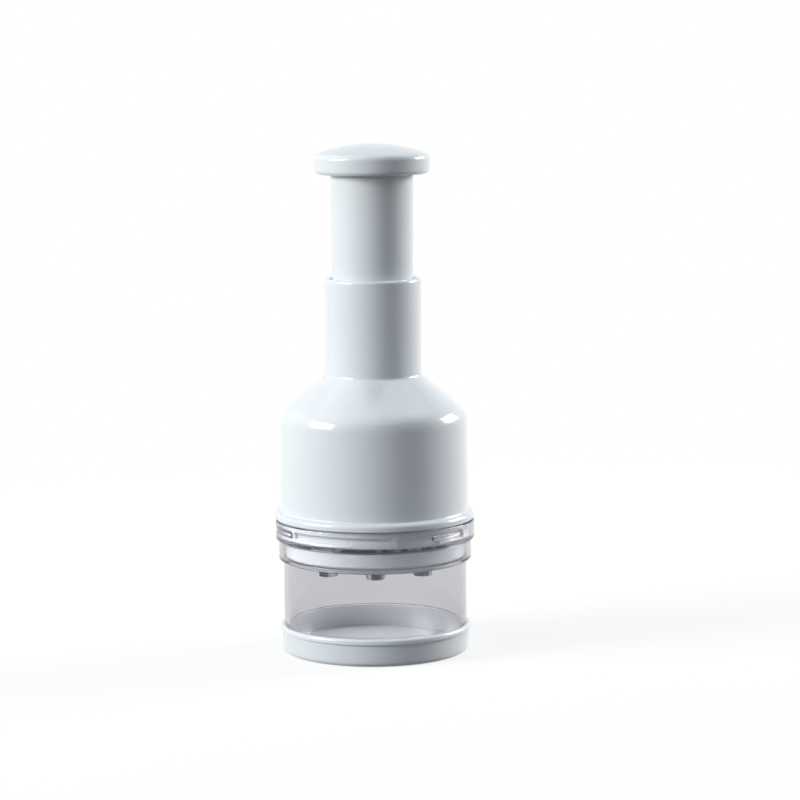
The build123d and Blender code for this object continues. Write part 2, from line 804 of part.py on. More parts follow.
blade_seat_z = carrier_z + blade_seat_depth
blade_section = strip(blade_thickness)
with BuildSketch() as tab_windows:
    with Locations(*tab_places()):
        Rectangle(fold_pitch - tab_slot_width, tab_width)
with BuildPart() as zigzag_blade:
    with BuildSketch(Plane.XY.offset(tip_z)):
        add(blade_section)
    extrude(amount=blade_seat_z - tip_z)
    edge_loop = zigzag_blade.faces().sort_by(Axis.Z)[0].edges()
    chamfer(edge_loop, blade_bevel)
    with BuildSketch(Plane.XY.offset(blade_seat_z)):
        add(blade_section)
        add(tab_windows.sketch, mode=Mode.INTERSECT)
    extrude(amount=backing_top_z - blade_seat_z)
zigzag_blade.part.label = "zigzag_blade"
export_step(zigzag_blade.part, "parts/zigzag_blade.step")

# ---------------------------------------------------------------- blade carrier and backing plate
seat_section = strip(blade_thickness + 2 * seat_gap)
carrier_washer_radius = screw_head_radius + carrier_washer_flange
carrier_screw_z = carrier_z + screw_head_height + screw_head_sink
with BuildPart() as blade_carrier:
    with BuildSketch(Plane.XY.offset(carrier_z)):
        Circle(carrier_radius)
    extrude(amount=carrier_thickness)
    with BuildSketch(Plane.XY.offset(carrier_top_z)):
        Circle(carrier_radius)
        Circle(carrier_radius - carrier_rim_width, mode=Mode.SUBTRACT)
    extrude(amount=carrier_rim_height)
    with BuildSketch(Plane.XY.offset(carrier_top_z)):
        Circle(hub_radius)
    extrude(amount=hub_height)
    chamfer(blade_carrier.faces().sort_by(Axis.Z)[-1].edges(), hub_bevel)
    with BuildSketch(Plane.XY.offset(hub_top_z)):
        RectangleRounded(
            spindle_across + 2 * seat_gap, spindle_across + 2 * seat_gap, spindle_corner
        )
    extrude(amount=-spindle_socket_depth, mode=Mode.SUBTRACT)
    with BuildSketch(Plane.XY.offset(carrier_z)):
        Circle(carrier_washer_radius + running_gap)
    extrude(amount=carrier_screw_z + carrier_washer_thickness - carrier_z, mode=Mode.SUBTRACT)
    with BuildSketch(Plane.XY.offset(carrier_z)):
        Circle(screw_radius + running_gap)
    extrude(amount=carrier_thickness + hub_height, mode=Mode.SUBTRACT)
    with BuildSketch(Plane.XY.offset(carrier_z)):
        add(seat_section)
    extrude(amount=blade_seat_depth, mode=Mode.SUBTRACT)
    with BuildSketch(Plane.XY.offset(carrier_z)):
        with Locations(*tab_places()):
            Rectangle(tab_slot_width, tab_width + 2 * seat_gap)
    extrude(amount=carrier_thickness, mode=Mode.SUBTRACT)
blade_carrier.part.label = "blade_carrier"
export_step(blade_carrier.part, "parts/blade_carrier.step")

with BuildPart() as blade_backing:
    with BuildSketch(Plane.XY.offset(carrier_top_z)):
        Circle(backing_radius)
        Circle(hub_radius + running_gap, mode=Mode.SUBTRACT)
        with Locations(*tab_places()):
            Rectangle(tab_slot_width, tab_width + 2 * seat_gap, mode=Mode.SUBTRACT)
    extrude(amount=backing_thickness)
blade_backing.part.label = "blade_backing"
export_step(blade_backing.part, "parts/blade_backing.step")

with BuildPart() as carrier_washer:
    with BuildSketch(Plane.XY.offset(carrier_screw_z)):
        Circle(carrier_washer_radius)
        Circle(screw_radius + seat_gap, mode=Mode.SUBTRACT)
    extrude(amount=carrier_washer_thickness)
carrier_washer.part.label = "carrier_washer"
export_step(carrier_washer.part, "parts/carrier_washer.step")

with BuildPart() as carrier_screw:
    add(screw(carrier_screw_length - carrier_washer_thickness, carrier_screw_z, tip_up=True))
carrier_screw.part.label = "carrier_screw"
export_step(carrier_screw.part, "parts/carrier_screw.step")

spindle_washer_z = web_top_z + seat_gap
with BuildPart() as spindle_washer:
    with BuildSketch(Plane.XY.offset(spindle_washer_z)):
        Circle(spindle_washer_radius)
        Circle(screw_radius + seat_gap, mode=Mode.SUBTRACT)
    extrude(amount=washer_thickness)
spindle_washer.part.label = "spindle_washer"
export_step(spindle_washer.part, "parts/spindle_washer.step")

with BuildPart() as spindle_screw:
    spindle_screw_z = spindle_washer_z + washer_thickness
    add(screw(spindle_screw_length - screw_end_room, spindle_screw_z, tip_up=False))
spindle_screw.part.label = "spindle_screw"
export_step(spindle_screw.part, "parts/spindle_screw.step")

# ---------------------------------------------------------------- wiper plate
slot_section = strip(blade_thickness + 2 * slot_clearance)
hook_section = ring_sector(wiper_neck_bore, hook_radius, -hook_angle / 2, hook_angle / 2)
with BuildPart() as wiper_plate:
    with BuildSketch(Plane.XZ):
        with BuildLine():
            FilletPolyline(
                (0, wiper_bottom_z),
                (wiper_spigot_radius, wiper_bottom_z),
                (wiper_spigot_radius, wiper_shoulder_z),
                (wiper_radius, wiper_shoulder_z),
                (wiper_radius, wiper_rim_z),
                (ring_middle_radius, wiper_rim_z),
                (ring_middle_radius, ring_z),
                (wiper_neck_radius, ring_z),
                (wiper_neck_radius, lip_top_z + running_gap + hook_height),
                (wiper_neck_bore, lip_top_z + running_gap + hook_height),
                (wiper_neck_bore, wiper_plate_z),
                (0, wiper_plate_z),
                radius=[wiper_edge_fillet, 0, wiper_edge_fillet] + [0] * 7,
            )
            Line((0, wiper_plate_z), (0, wiper_bottom_z))
        make_face()
    revolve(axis=Axis.Z)
    with BuildSketch(Plane.XY.offset(lip_top_z + running_gap)):
        with around(lug_count):
            add(hook_section)
    extrude(amount=hook_height)
    with BuildSketch(Plane.XY.offset(wiper_bottom_z)):
        add(slot_section)
    extrude(amount=wiper_plate_thickness, mode=Mode.SUBTRACT)
wiper_plate.part.label = "wiper_plate"
export_step(wiper_plate.part, "parts/wiper_plate.step")

split_half_angle = math.degrees(ring_split / 2 / ring_bore_radius)
ring_section = ring_sector(
    ring_bore_radius,
    ring_bore_radius + ring_width,
    ring_split_angle + split_half_angle,
    ring_split_angle + 360 - split_half_angle,
)
with BuildPart() as thrust_ring:
    with BuildSketch(Plane.XY.offset(ring_z)):
        add(ring_section)
    extrude(amount=ring_thickness)
thrust_ring.part.label = "thrust_ring"
export_step(thrust_ring.part, "parts/thrust_ring.step")
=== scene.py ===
"""Looks of a plunger food chopper: surfaces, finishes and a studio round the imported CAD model."""

import logging
import math
from collections.abc import Sequence
from dataclasses import dataclass, field
from enum import Enum

import bpy
import numpy as np
from mathutils import Matrix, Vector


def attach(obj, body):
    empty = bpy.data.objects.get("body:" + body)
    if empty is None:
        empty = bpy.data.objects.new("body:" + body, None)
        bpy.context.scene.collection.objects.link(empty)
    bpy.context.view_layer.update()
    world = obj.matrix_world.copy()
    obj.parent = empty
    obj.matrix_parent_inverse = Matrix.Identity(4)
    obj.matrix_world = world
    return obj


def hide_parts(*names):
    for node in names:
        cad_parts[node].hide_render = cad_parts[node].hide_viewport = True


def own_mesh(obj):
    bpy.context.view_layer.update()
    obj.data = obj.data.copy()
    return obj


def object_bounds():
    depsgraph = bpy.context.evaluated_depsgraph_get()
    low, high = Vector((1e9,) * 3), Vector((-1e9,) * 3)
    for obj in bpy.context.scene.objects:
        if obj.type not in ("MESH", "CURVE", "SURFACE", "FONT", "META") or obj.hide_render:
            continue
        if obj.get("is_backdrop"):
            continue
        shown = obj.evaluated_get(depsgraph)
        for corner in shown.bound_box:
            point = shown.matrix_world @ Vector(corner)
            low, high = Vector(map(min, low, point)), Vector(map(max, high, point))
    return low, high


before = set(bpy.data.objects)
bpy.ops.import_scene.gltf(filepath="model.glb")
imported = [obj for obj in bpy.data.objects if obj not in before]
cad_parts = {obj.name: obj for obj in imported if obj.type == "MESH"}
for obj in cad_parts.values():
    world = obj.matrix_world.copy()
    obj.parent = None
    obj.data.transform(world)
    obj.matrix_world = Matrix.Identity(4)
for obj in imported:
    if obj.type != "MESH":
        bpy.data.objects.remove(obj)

MM = 0.001
FULL_TURN = 360.0
WHITE = (1.0, 1.0, 1.0)
log = logging.getLogger("chopper")


# ---------------------------------------------------------------------------- shader graphs
class Signal:
    """One output socket of a shader node, with the arithmetic of values."""

    def __init__(self, graph: "Graph", socket: bpy.types.NodeSocket) -> None:
        """Keeps the socket and the graph it belongs to."""
        self.graph = graph
        self.socket = socket

    def __add__(self, other: "Signal | float") -> "Signal":
        """Sum."""
        return self.graph.maths("ADD", self, other)

    def __sub__(self, other: "Signal | float") -> "Signal":
        """Difference."""
        return self.graph.maths("SUBTRACT", self, other)

    def __mul__(self, other: "Signal | float") -> "Signal":
        """Product."""
        return self.graph.maths("MULTIPLY", self, other)

    def __rsub__(self, other: float) -> "Signal":
        """Difference from a plain number."""
        return self.graph.maths("SUBTRACT", other, self)

    __radd__ = __add__
    __rmul__ = __mul__


class Graph:
    """A node tree that is written as expressions."""

    def __init__(self, tree: bpy.types.NodeTree) -> None:
        """Empties the tree.

        Args:
            tree: the node tree of a material or a world.
        """
        self.tree = tree
        tree.nodes.clear()

    def node(
        self,
        kind: str,
        inputs: dict[str | int, object] | None = None,
        output: str | int = 0,
        **settings: object,
    ) -> Signal:
        """Adds a node, sets it and links it.

        Args:
            kind: the node's type without its ShaderNode prefix.
            inputs: values or signals by socket name or number.
            output: the output socket that is returned.
            **settings: the node's own properties, set before its sockets.

        Returns:
            The chosen output as a Signal.
        """
        node = self.tree.nodes.new("ShaderNode" + kind)
        for name, value in settings.items():
            setattr(node, name, value)
        for key, value in (inputs or {}).items():
            socket = self._socket(node, key)
            if isinstance(value, Signal):
                self.tree.links.new(value.socket, socket)
            else:
                socket.default_value = value
        if isinstance(output, str):
            return Signal(self, next(s for s in node.outputs if s.name == output and s.enabled))
        enabled = [s for s in node.outputs if s.enabled]
        return Signal(self, enabled[output]) if enabled else Signal(self, None)

    @staticmethod
    def _socket(node: bpy.types.Node, key: str | int) -> bpy.types.NodeSocket:
        """The input socket of that number, or the enabled one of that name."""
        if isinstance(key, int):
            return node.inputs[key]
        return next(s for s in node.inputs if s.name == key and s.enabled)

    def maths(self, operation: str, first: Signal | float, second: Signal | float) -> Signal:
        """A Math node of two values."""
        return self.node("Math", {0: first, 1: second}, operation=operation)

    def place(self) -> Signal:
        """Object coordinates, in metres."""
        return self.node("TexCoord", output="Object")

    def stretched(self, scale: tuple[float, float, float]) -> Signal:
        """Object coordinates with each axis scaled, for streaks."""
        return self.node("Mapping", {"Vector": self.place(), "Scale": scale})

    def noise(self, where: Signal, scale: float, detail: float = 2.0) -> Signal:
        """Smooth noise from 0 to 1, with so many features a metre."""
        wanted = {"Vector": where, "Scale": scale, "Detail": detail}
        return self.node("TexNoise", wanted, output="Fac")

    def blend(self, factor: Signal | float, first: tuple | Signal, second: tuple) -> Signal:
        """A colour between two colours."""
        start = first if isinstance(first, Signal) else (*first, 1.0)
        wanted = {"Factor": factor, "A": start, "B": (*second, 1.0)}
        return self.node("Mix", wanted, output="Result", data_type="RGBA")

    def bump(self, height: Signal, strength: float, depth: float) -> Signal:
        """A Bump node over a height field, depth in metres."""
        wanted = {"Height": height, "Strength": strength, "Distance": depth}
        return self.node("Bump", wanted)

    def surface(self, inputs: dict[str | int, object]) -> None:
        """Ends the graph in a Principled shader."""
        self.output(self.node("BsdfPrincipled", inputs), "OutputMaterial")

    def output(self, shader: Signal, kind: str) -> None:
        """Ends the graph in an output node of that kind."""
        self.node(kind, {"Surface": shader})


def new_material(name: str) -> tuple[bpy.types.Material, Graph]:
    """A named material and its empty graph."""
    material = bpy.data.materials.new(name)
    material.use_nodes = True
    return material, Graph(material.node_tree)


# ---------------------------------------------------------------------------- finishes
@dataclass(frozen=True)
class GlossPlastic:
    """Moulded plastic with a polished skin: slight shade drift, orange peel and rubbed patches."""

    name: str
    colour: tuple[float, float, float]
    roughness: float
    drift: float = 0.03
    coat: float = 0.35
    coat_roughness: float = 0.06
    ior: float = 1.5
    cloud_scale: float = 38.0
    cloud_share: float = 0.03
    rub_scale: float = 260.0
    rub_stretch: tuple[float, float, float] = (1.0, 1.0, 0.35)
    rub_share: float = 0.09
    peel_scale: float = 950.0
    peel: float = 0.05
    peel_depth: float = 0.00012

    def build(self) -> bpy.types.Material:
        """Makes the material.

        The roughness varies evenly about its own value, since noise has a mean of one half.

        Returns:
            The material, whose colour, roughness and bump vary over the surface.
        """
        material, graph = new_material(self.name)
        where = graph.place()
        cloud = graph.noise(where, self.cloud_scale, detail=3.0)
        rubbed = graph.noise(graph.stretched(self.rub_stretch), self.rub_scale, detail=5.0)
        peel = graph.noise(where, self.peel_scale, detail=1.0)
        least = self.roughness - (self.rub_share + self.cloud_share) / 2
        darker = tuple(c * (1.0 - self.drift) for c in self.colour)
        graph.surface(
            {
                "Base Color": graph.blend(cloud, darker, self.colour),
                "Roughness": rubbed * self.rub_share + cloud * self.cloud_share + least,
                "IOR": self.ior,
                "Coat Weight": self.coat,
                "Coat Roughness": self.coat_roughness,
                "Normal": graph.bump(peel, self.peel, self.peel_depth),
            }
        )
        return material


@dataclass(frozen=True)
class ClearPlastic:
    """Clear moulded plastic: painted cool light along its step edges, a painted dark line of shade
    inside its collar, a faint random haze and slow waves.

    Heights and widths are in metres. Direct light goes through it to the pieces inside.
    """

    name: str
    colour: tuple[float, float, float]
    # Colour of the faint random haze, and of the painted violet light along the step edges.
    haze_and_edge_light_colour: tuple[float, float, float]
    roughness: float = 0.015
    haze_scale: float = 420.0
    haze_share: float = 0.03
    haze_tint: float = 0.1
    wave_scale: float = 70.0
    wave_stretch: tuple[float, float, float] = (1.0, 1.0, 0.3)
    wave: float = 0.12
    wave_depth: float = 0.0006
    ior: float = 1.49
    lets_through: float = 0.62
    lit_edge_heights: tuple[float, ...] = (0.0386, 0.0471, 0.0553)
    lit_edge_width: float = 0.0009
    edge_light_share: float = 0.85
    # The line of shade is painted: a dark band that stands in for the shadowed gap behind the
    # collar.
    shade_line_height: float = 0.0479
    shade_line_width: float = 0.0006
    shade_line_colour: tuple[float, float, float] = (0.3, 0.31, 0.42)

    @staticmethod
    def _near(graph: Graph, height: Signal, level: float, width: float) -> Signal:
        """1 at a level, falling evenly to 0 and below it at one width from it."""
        return 1.0 - graph.maths("ABSOLUTE", height - level, 0.0) * (1 / width)

    def build(self) -> bpy.types.Material:
        """Makes the material.

        Returns:
            The clear material, with bump and roughness that vary over the surface.
        """
        material, graph = new_material(self.name)
        waves = graph.noise(graph.stretched(self.wave_stretch), self.wave_scale, detail=1.0)
        haze = graph.noise(graph.place(), self.haze_scale, detail=4.0)
        height = graph.node("SeparateXYZ", {"Vector": graph.place()}, output="Z")
        # Painted light: violet bands at the cup's step edges stand in for light refracted along
        # those edges; the haze adds a faint random cool tone.
        edge = 0.0
        for level in self.lit_edge_heights:
            edge = graph.maths("MAXIMUM", self._near(graph, height, level, self.lit_edge_width), edge)
        tint = edge * self.edge_light_share + haze * self.haze_tint
        tinted = graph.blend(tint, self.colour, self.haze_and_edge_light_colour)
        # Painted shade: a dark line on the collar's inner wall, where the gap between the housing's
        # skirt and the bright ring lies in shadow.
        shade_line = self._near(graph, height, self.shade_line_height, self.shade_line_width)
        painted_shade = graph.maths("MAXIMUM", shade_line, 0.0)
        shadow = graph.node("LightPath", output="Is Shadow Ray")
        graph.surface(
            {
                "Base Color": graph.blend(painted_shade, tinted, self.shade_line_colour),
                "Roughness": haze * self.haze_share + self.roughness,
                "IOR": self.ior,
                "Transmission Weight": 1.0,
                "Alpha": 1.0 - shadow * self.lets_through,
                "Normal": graph.bump(waves, self.wave, self.wave_depth),
            }
        )
        return material


@dataclass(frozen=True)
class PolishedSteel:
    """Polished steel with fine lines along one direction and painted dark upright reflections in
    its colour.
    """

    name: str
    colour: tuple[float, float, float]
    grain: tuple[float, float, float]
    roughness: float
    dark_reflection_level: float = 0.86
    dark_reflection_scale: float = 330.0
    dark_reflection_stretch: tuple[float, float, float] = (1.0, 1.0, 0.05)
    dark_reflection_from: float = 0.45
    dark_reflection_contrast: float = 6.0
    line_scale: float = 900.0
    line_share: float = 0.14
    line: float = 0.08
    line_depth: float = 0.00006
    stain_scale: float = 120.0
    stain_share: float = 0.06
    dip: float = 0.08

    def build(self) -> bpy.types.Material:
        """Makes the material.

        Returns:
            The metal, with lines in its roughness and bump and painted dark reflections in its
            colour.
        """
        material, graph = new_material(self.name)
        lines = graph.noise(graph.stretched(self.grain), self.line_scale, detail=4.0)
        stain = graph.noise(graph.place(), self.stain_scale, detail=3.0)
        # Painted reflection: upright streaks of darker colour stand in for dark surroundings
        # mirrored in the polished metal.
        dark_reflections = graph.noise(graph.stretched(self.dark_reflection_stretch), self.dark_reflection_scale, detail=1.0)
        dark_reflection_ramp = dark_reflections * self.dark_reflection_contrast - self.dark_reflection_contrast * self.dark_reflection_from
        sharp = graph.maths("MINIMUM", graph.maths("MAXIMUM", dark_reflection_ramp, 0.0), 1.0)
        rough = lines * self.line_share + stain * self.stain_share + (self.roughness - self.dip)
        darker = tuple(c * self.dark_reflection_level for c in self.colour)
        graph.surface(
            {
                "Base Color": graph.blend(sharp, darker, self.colour),
                "Metallic": 1.0,
                "Roughness": rough,
                "Normal": graph.bump(lines, self.line, self.line_depth),
            }
        )
        return material


class Finish(Enum):
    """The finishes of the chopper's pieces, each under the record's slot name."""

    white_plastic = GlossPlastic("white_plastic", (0.765, 0.825, 0.875), roughness=0.17)
    natural_plastic = GlossPlastic(
        "natural_plastic", (0.74, 0.73, 0.69), roughness=0.3, drift=0.06, coat=0.0, peel=0.08
    )
    # The cup's second colour is both its faint random haze and the painted violet light along its
    # edges.
    clear_plastic = ClearPlastic("clear_plastic", (0.975, 0.962, 0.968), (0.66, 0.68, 0.93))
    # The stainless finish takes deep painted dark reflections; the screw and spring steels take
    # faint ones.
    stainless = PolishedSteel(
        "stainless", (0.6, 0.6, 0.61), grain=(0.05, 0.05, 1.0), roughness=0.2, dark_reflection_level=0.12
    )
    screw_steel = PolishedSteel(
        "screw_steel", (0.56, 0.56, 0.57), grain=(1.0, 1.0, 0.1), roughness=0.28
    )
    spring_steel = PolishedSteel(
        "spring_steel", (0.45, 0.45, 0.47), grain=(1.0, 1.0, 0.2), roughness=0.24
    )


class Paint:
    """Hands out each finish as one shared material."""

    def __init__(self) -> None:
        """Starts with no material made."""
        self.made: dict[Finish, bpy.types.Material] = {}

    def material(self, finish: Finish) -> bpy.types.Material:
        """The material of that finish, made the first time it is asked for."""
        if finish not in self.made:
            self.made[finish] = finish.value.build()
        return self.made[finish]

    def dress(self, piece: bpy.types.Object, finish: Finish) -> None:
        """Gives a piece one finish in every slot."""
        material = self.material(finish)
        if not piece.material_slots:
            piece.data.materials.append(material)
        for slot in piece.material_slots:
            slot.material = material


# ---------------------------------------------------------------------------- turned surfaces
class Edge:
    """Roundings that the moulded pieces share, in millimetres."""

    hairline: float = 0.1
    crisp: float = 0.15
    fine: float = 0.2
    slight: float = 0.25
    light: float = 0.3
    soft: float = 0.4
    full: float = 0.5
    broad: float = 0.6
    wide: float = 0.8


class Grid:
    """How finely surfaces are divided.

    Lengths are in millimetres, arc_step is in radians and the gaps between angles in degrees.
    """

    stride: float = 1.5
    arc_step: float = 0.2
    arc_least: int = 4
    row_gap: float = 0.05
    pair_gap: float = 0.08
    clear_gap: float = 0.4
    angle_digits: int = 6
    merge_digits: int = 7


@dataclass(frozen=True)
class Corner:
    """A corner of a turned profile: radius, height and rounding in millimetres."""

    r: float
    z: float
    rounding: float = 0.0


@dataclass(frozen=True)
class Step:
    """A step in a turned surface: rows near one radius take another between angles and heights.

    Angles are in degrees from the front, positive towards +X. Sizes are in millimetres.
    Rows up to over outside the base radius go in, and rows up to under inside it come out.
    """

    start: float
    end: float
    low: float
    high: float
    base: float
    radius: float
    over: float = 0.01
    under: float = 0.5

    def rows(self, r: np.ndarray) -> np.ndarray:
        """True for the rows between the base radius and the new one."""
        if self.radius < self.base:
            return (r > self.radius) & (r < self.base + self.over)
        return (r < self.radius) & (r > self.base - self.under)


def rounded(corners: Sequence[Corner], closed: bool, stride: float = Grid.stride) -> np.ndarray:
    """Points of a profile with rounded corners.

    A corner P with unit ways u and v to its neighbours and half angle h is replaced by the arc of
    its rounding about P + (u + v)/|u + v| * rounding/sin h, from P + u * rounding/tan h to
    P + v * rounding/tan h. Straight runs are divided into lengths of about one stride.

    Args:
        corners: the corners in order.
        closed: True if the last corner joins the first.
        stride: length of a division, in millimetres.

    Returns:
        An array of radii and heights, in millimetres.
    """
    spots = np.array([(c.r, c.z) for c in corners])
    parts = []
    last = len(corners) - 1
    for k, corner in enumerate(corners):
        if corner.rounding == 0 or (not closed and k in (0, last)):
            parts.append(spots[k : k + 1])
            continue
        u = spots[k - 1] - spots[k]
        v = spots[(k + 1) % len(corners)] - spots[k]
        u = u / np.linalg.norm(u)
        v = v / np.linalg.norm(v)
        half = math.acos(np.clip(u @ v, -1, 1)) / 2
        start = u * corner.rounding / math.tan(half)
        end = v * corner.rounding / math.tan(half)
        centre = (u + v) / np.linalg.norm(u + v) * corner.rounding / math.sin(half)
        sweep = math.pi - 2 * half
        count = max(Grid.arc_least, round(sweep / Grid.arc_step))
        share = np.linspace(0, 1, count)[:, None]
        first = (start - centre) * np.sin((1 - share) * sweep)
        second = (end - centre) * np.sin(share * sweep)
        parts.append(spots[k] + centre + (first + second) / math.sin(sweep))
    points = np.concatenate(parts)
    if closed:
        points = np.concatenate([points, points[:1]])
    spans = np.linalg.norm(np.diff(points, axis=0), axis=1)
    counts = np.maximum(1, np.round(spans / stride).astype(int))
    lengths = np.concatenate([[0], np.cumsum(spans)])
    marks = np.concatenate(
        [np.linspace(a, b, n, endpoint=False) for a, b, n in zip(lengths, lengths[1:], counts)]
        + ([] if closed else [lengths[-1:]])
    )
    return np.stack([np.interp(marks, lengths, points[:, axis]) for axis in (0, 1)], axis=1)


def with_rows(profile: np.ndarray, steps: Sequence[Step], closed: bool) -> np.ndarray:
    """Adds rows just below and just above each height where a step starts or ends.

    Args:
        profile: radii and heights, in millimetres.
        steps: the steps.
        closed: True if the last row joins the first.

    Returns:
        The profile with its new rows, in order.
    """
    heights = sorted({h for s in steps for h in (s.low, s.high)})
    for height in heights:
        for level in (height - Grid.row_gap, height + Grid.row_gap):
            ends = np.roll(profile, -1, axis=0) if closed else profile[1:]
            starts = profile[: len(ends)]
            cross = (starts[:, 1] - level) * (ends[:, 1] - level) < 0
            near = np.zeros(len(starts), bool)
            for step in steps:
                near |= step.rows(starts[:, 0]) & step.rows(ends[:, 0])
            spots = np.nonzero(cross & near)[0]
            share = (level - starts[spots, 1]) / (ends[spots, 1] - starts[spots, 1])
            added = starts[spots] + (ends[spots] - starts[spots]) * share[:, None]
            profile = np.insert(profile, spots + 1, added, axis=0)
    return profile


def angle_grid(steps: Sequence[Step], count: int) -> np.ndarray:
    """Even angles round the axis, with a pair close to each angle where a step starts or ends.

    Args:
        steps: the steps.
        count: how many even angles there are before the pairs take their places.

    Returns:
        The angles in degrees, rising.
    """
    even = np.arange(count) * FULL_TURN / count
    edges = np.array([a for s in steps for a in (s.start, s.end)]) % FULL_TURN
    if len(edges) == 0:
        return even
    edges = np.unique(np.round(edges, Grid.angle_digits))
    half = FULL_TURN / 2
    gap = np.abs((even[:, None] - edges[None] + half) % FULL_TURN - half).min(1)
    pairs = np.concatenate([edges - Grid.pair_gap, edges + Grid.pair_gap]) % FULL_TURN
    return np.sort(np.concatenate([even[gap > Grid.clear_gap], pairs]))


def build_mesh(name: str, points: np.ndarray, faces: list) -> bpy.types.Object:
    """A smooth object from points in millimetres, turned right side out.

    The volume is the sum of v0 . (v1 x v2) / 6 over a fan of each face, and its sign tells which
    way the faces point.

    Args:
        name: the piece's name.
        points: an array of x, y and z.
        faces: a list of arrays of vertex numbers, one array for each number of sides.

    Returns:
        The new object at the origin.
    """
    volume = 0.0
    for group in faces:
        for k in range(1, group.shape[1] - 1):
            a, b, c = (points[group[:, n]] for n in (0, k, k + 1))
            volume += float((a * np.cross(b, c)).sum())
    flip = -1 if volume < 0 else 1
    polygons = [face for group in faces for face in group[:, ::flip].tolist()]
    mesh = bpy.data.meshes.new(name)
    mesh.from_pydata((points * MM).tolist(), [], polygons)
    mesh.polygons.foreach_set("use_smooth", np.ones(len(mesh.polygons), bool))
    mesh.update()
    piece = bpy.data.objects.new(name, mesh)
    bpy.context.scene.collection.objects.link(piece)
    return piece


def even_shading(piece: bpy.types.Object, sharp: float = 0.0) -> bpy.types.Object:
    """Gives each point the normal of its largest faces.

    Args:
        piece: the object.
        sharp: degrees past which an edge stays sharp, or 0 for no sharp edge.

    Returns:
        The same object.
    """
    if sharp:
        piece.data.set_sharp_from_angle(angle=math.radians(sharp))
    shading = piece.modifiers.new("even_shading", "WEIGHTED_NORMAL")
    shading.keep_sharp = sharp > 0
    return piece


def turned(
    name: str,
    profile: np.ndarray,
    closed: bool,
    steps: Sequence[Step] = (),
    count: int = 240,
    centre: tuple[float, float] = (0.0, 0.0),
) -> bpy.types.Object:
    """A surface of revolution with steps in it.

    A point of row i and angle a stands at x = r sin a and y = -r cos a, where r is the row's
    radius, or a step's radius inside that step's angles and heights. Rows on the axis become poles.

    Args:
        name: the piece's name.
        profile: radii and heights, in millimetres.
        closed: True for a ring-like profile, False for one from axis to axis.
        steps: steps in the surface.
        count: divisions round the axis.
        centre: x and y of the axis, in millimetres.

    Returns:
        The new object.
    """
    profile = with_rows(profile, steps, closed)
    angles = angle_grid(steps, count)
    rows = profile if closed else profile[1:-1]
    radius = np.repeat(rows[:, :1], len(angles), axis=1)
    height = np.repeat(rows[:, 1:], len(angles), axis=1)
    for step in steps:
        turn = (angles - step.start) % FULL_TURN
        inside = turn < (step.end - step.start) % FULL_TURN
        tall = (rows[:, 1] > step.low) & (rows[:, 1] < step.high)
        mask = (step.rows(rows[:, 0]) & tall)[:, None] & inside[None]
        radius = np.where(mask, step.radius, radius)
    way = np.radians(angles)
    points = np.stack(
        [centre[0] + radius * np.sin(way), centre[1] - radius * np.cos(way), height], axis=-1
    ).reshape(-1, 3)
    across = len(angles)
    number = np.arange(len(rows) * across).reshape(len(rows), across)
    low = number if closed else number[:-1]
    high = np.roll(number, -1, axis=0) if closed else number[1:]
    quads = np.stack([low, np.roll(low, -1, 1), np.roll(high, -1, 1), high], axis=-1)
    faces = [quads.reshape(-1, 4)]
    if not closed:
        poles = np.array([(*centre, profile[0, 1]), (*centre, profile[-1, 1])])
        first, last = len(points), len(points) + 1
        points = np.concatenate([points, poles])
        bottom = np.stack([np.roll(number[0], -1), number[0], np.full(across, first)], axis=1)
        top = np.stack([number[-1], np.roll(number[-1], -1), np.full(across, last)], axis=1)
        faces.append(np.concatenate([bottom, top]))
    return even_shading(build_mesh(name, points, faces))


def carried(
    name: str,
    path: np.ndarray,
    side: np.ndarray,
    section: np.ndarray,
    lift: np.ndarray,
    sharp: float = 40.0,
) -> bpy.types.Object:
    """An upright section carried along a path, with flat ends.

    A point of section row i at path point j stands at path j + side j * offset i, at height i plus
    the lift of point j times the row's share.

    Args:
        name: the piece's name.
        path: x and y of the path.
        side: unit vector across the path at each point.
        section: closed rows of offset, height and share of the lift.
        lift: how much higher the lifted rows are at each path point.
        sharp: degrees past which an edge stays sharp.

    Returns:
        The new object.
    """
    flat = path[None] + side[None] * section[:, None, :1]
    height = section[:, None, 1:2] + section[:, None, 2:3] * lift[None, :, None]
    points = np.concatenate([flat, np.broadcast_to(height, (*flat.shape[:2], 1))], axis=2)
    number = np.arange(len(section) * len(path)).reshape(len(section), len(path))
    after = np.roll(number, -1, axis=0)
    quads = np.stack([number[:, :-1], number[:, 1:], after[:, 1:], after[:, :-1]], axis=-1)
    caps = np.stack([number[::-1, 0], number[:, -1]])
    piece = build_mesh(name, points.reshape(-1, 3), [quads.reshape(-1, 4), caps])
    return even_shading(piece, sharp)


def smoothed_copy(node: str, name: str, sharp: float = 30.0) -> bpy.types.Object:
    """A CAD node's mesh with its points merged and its shallow edges shaded smooth.

    Args:
        node: the CAD node.
        name: the piece's name.
        sharp: degrees past which an edge stays sharp.

    Returns:
        The new object.
    """
    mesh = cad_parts[node].data.copy()
    mesh.name = name
    count = len(mesh.vertices)
    spots = np.zeros(count * 3, np.float32)
    mesh.vertices.foreach_get("co", spots)
    spots = spots.reshape(-1, 3)
    corners = np.zeros(len(mesh.loops), np.int32)
    mesh.loops.foreach_get("vertex_index", corners)
    near = np.round(spots, Grid.merge_digits)
    _, first, same = np.unique(near, axis=0, return_index=True, return_inverse=True)
    triangles = same.reshape(-1)[corners].reshape(-1, 3)
    good = (np.diff(np.sort(triangles, axis=1), axis=1) > 0).all(1)
    bpy.data.meshes.remove(mesh)
    piece = build_mesh(name, spots[first].astype(float) / MM, [triangles[good]])
    return even_shading(piece, sharp)


# ---------------------------------------------------------------------------- sub-assemblies
@dataclass
class Clearances:
    """The gaps between pieces, in millimetres."""

    running: float = 0.3
    seat: float = 0.05


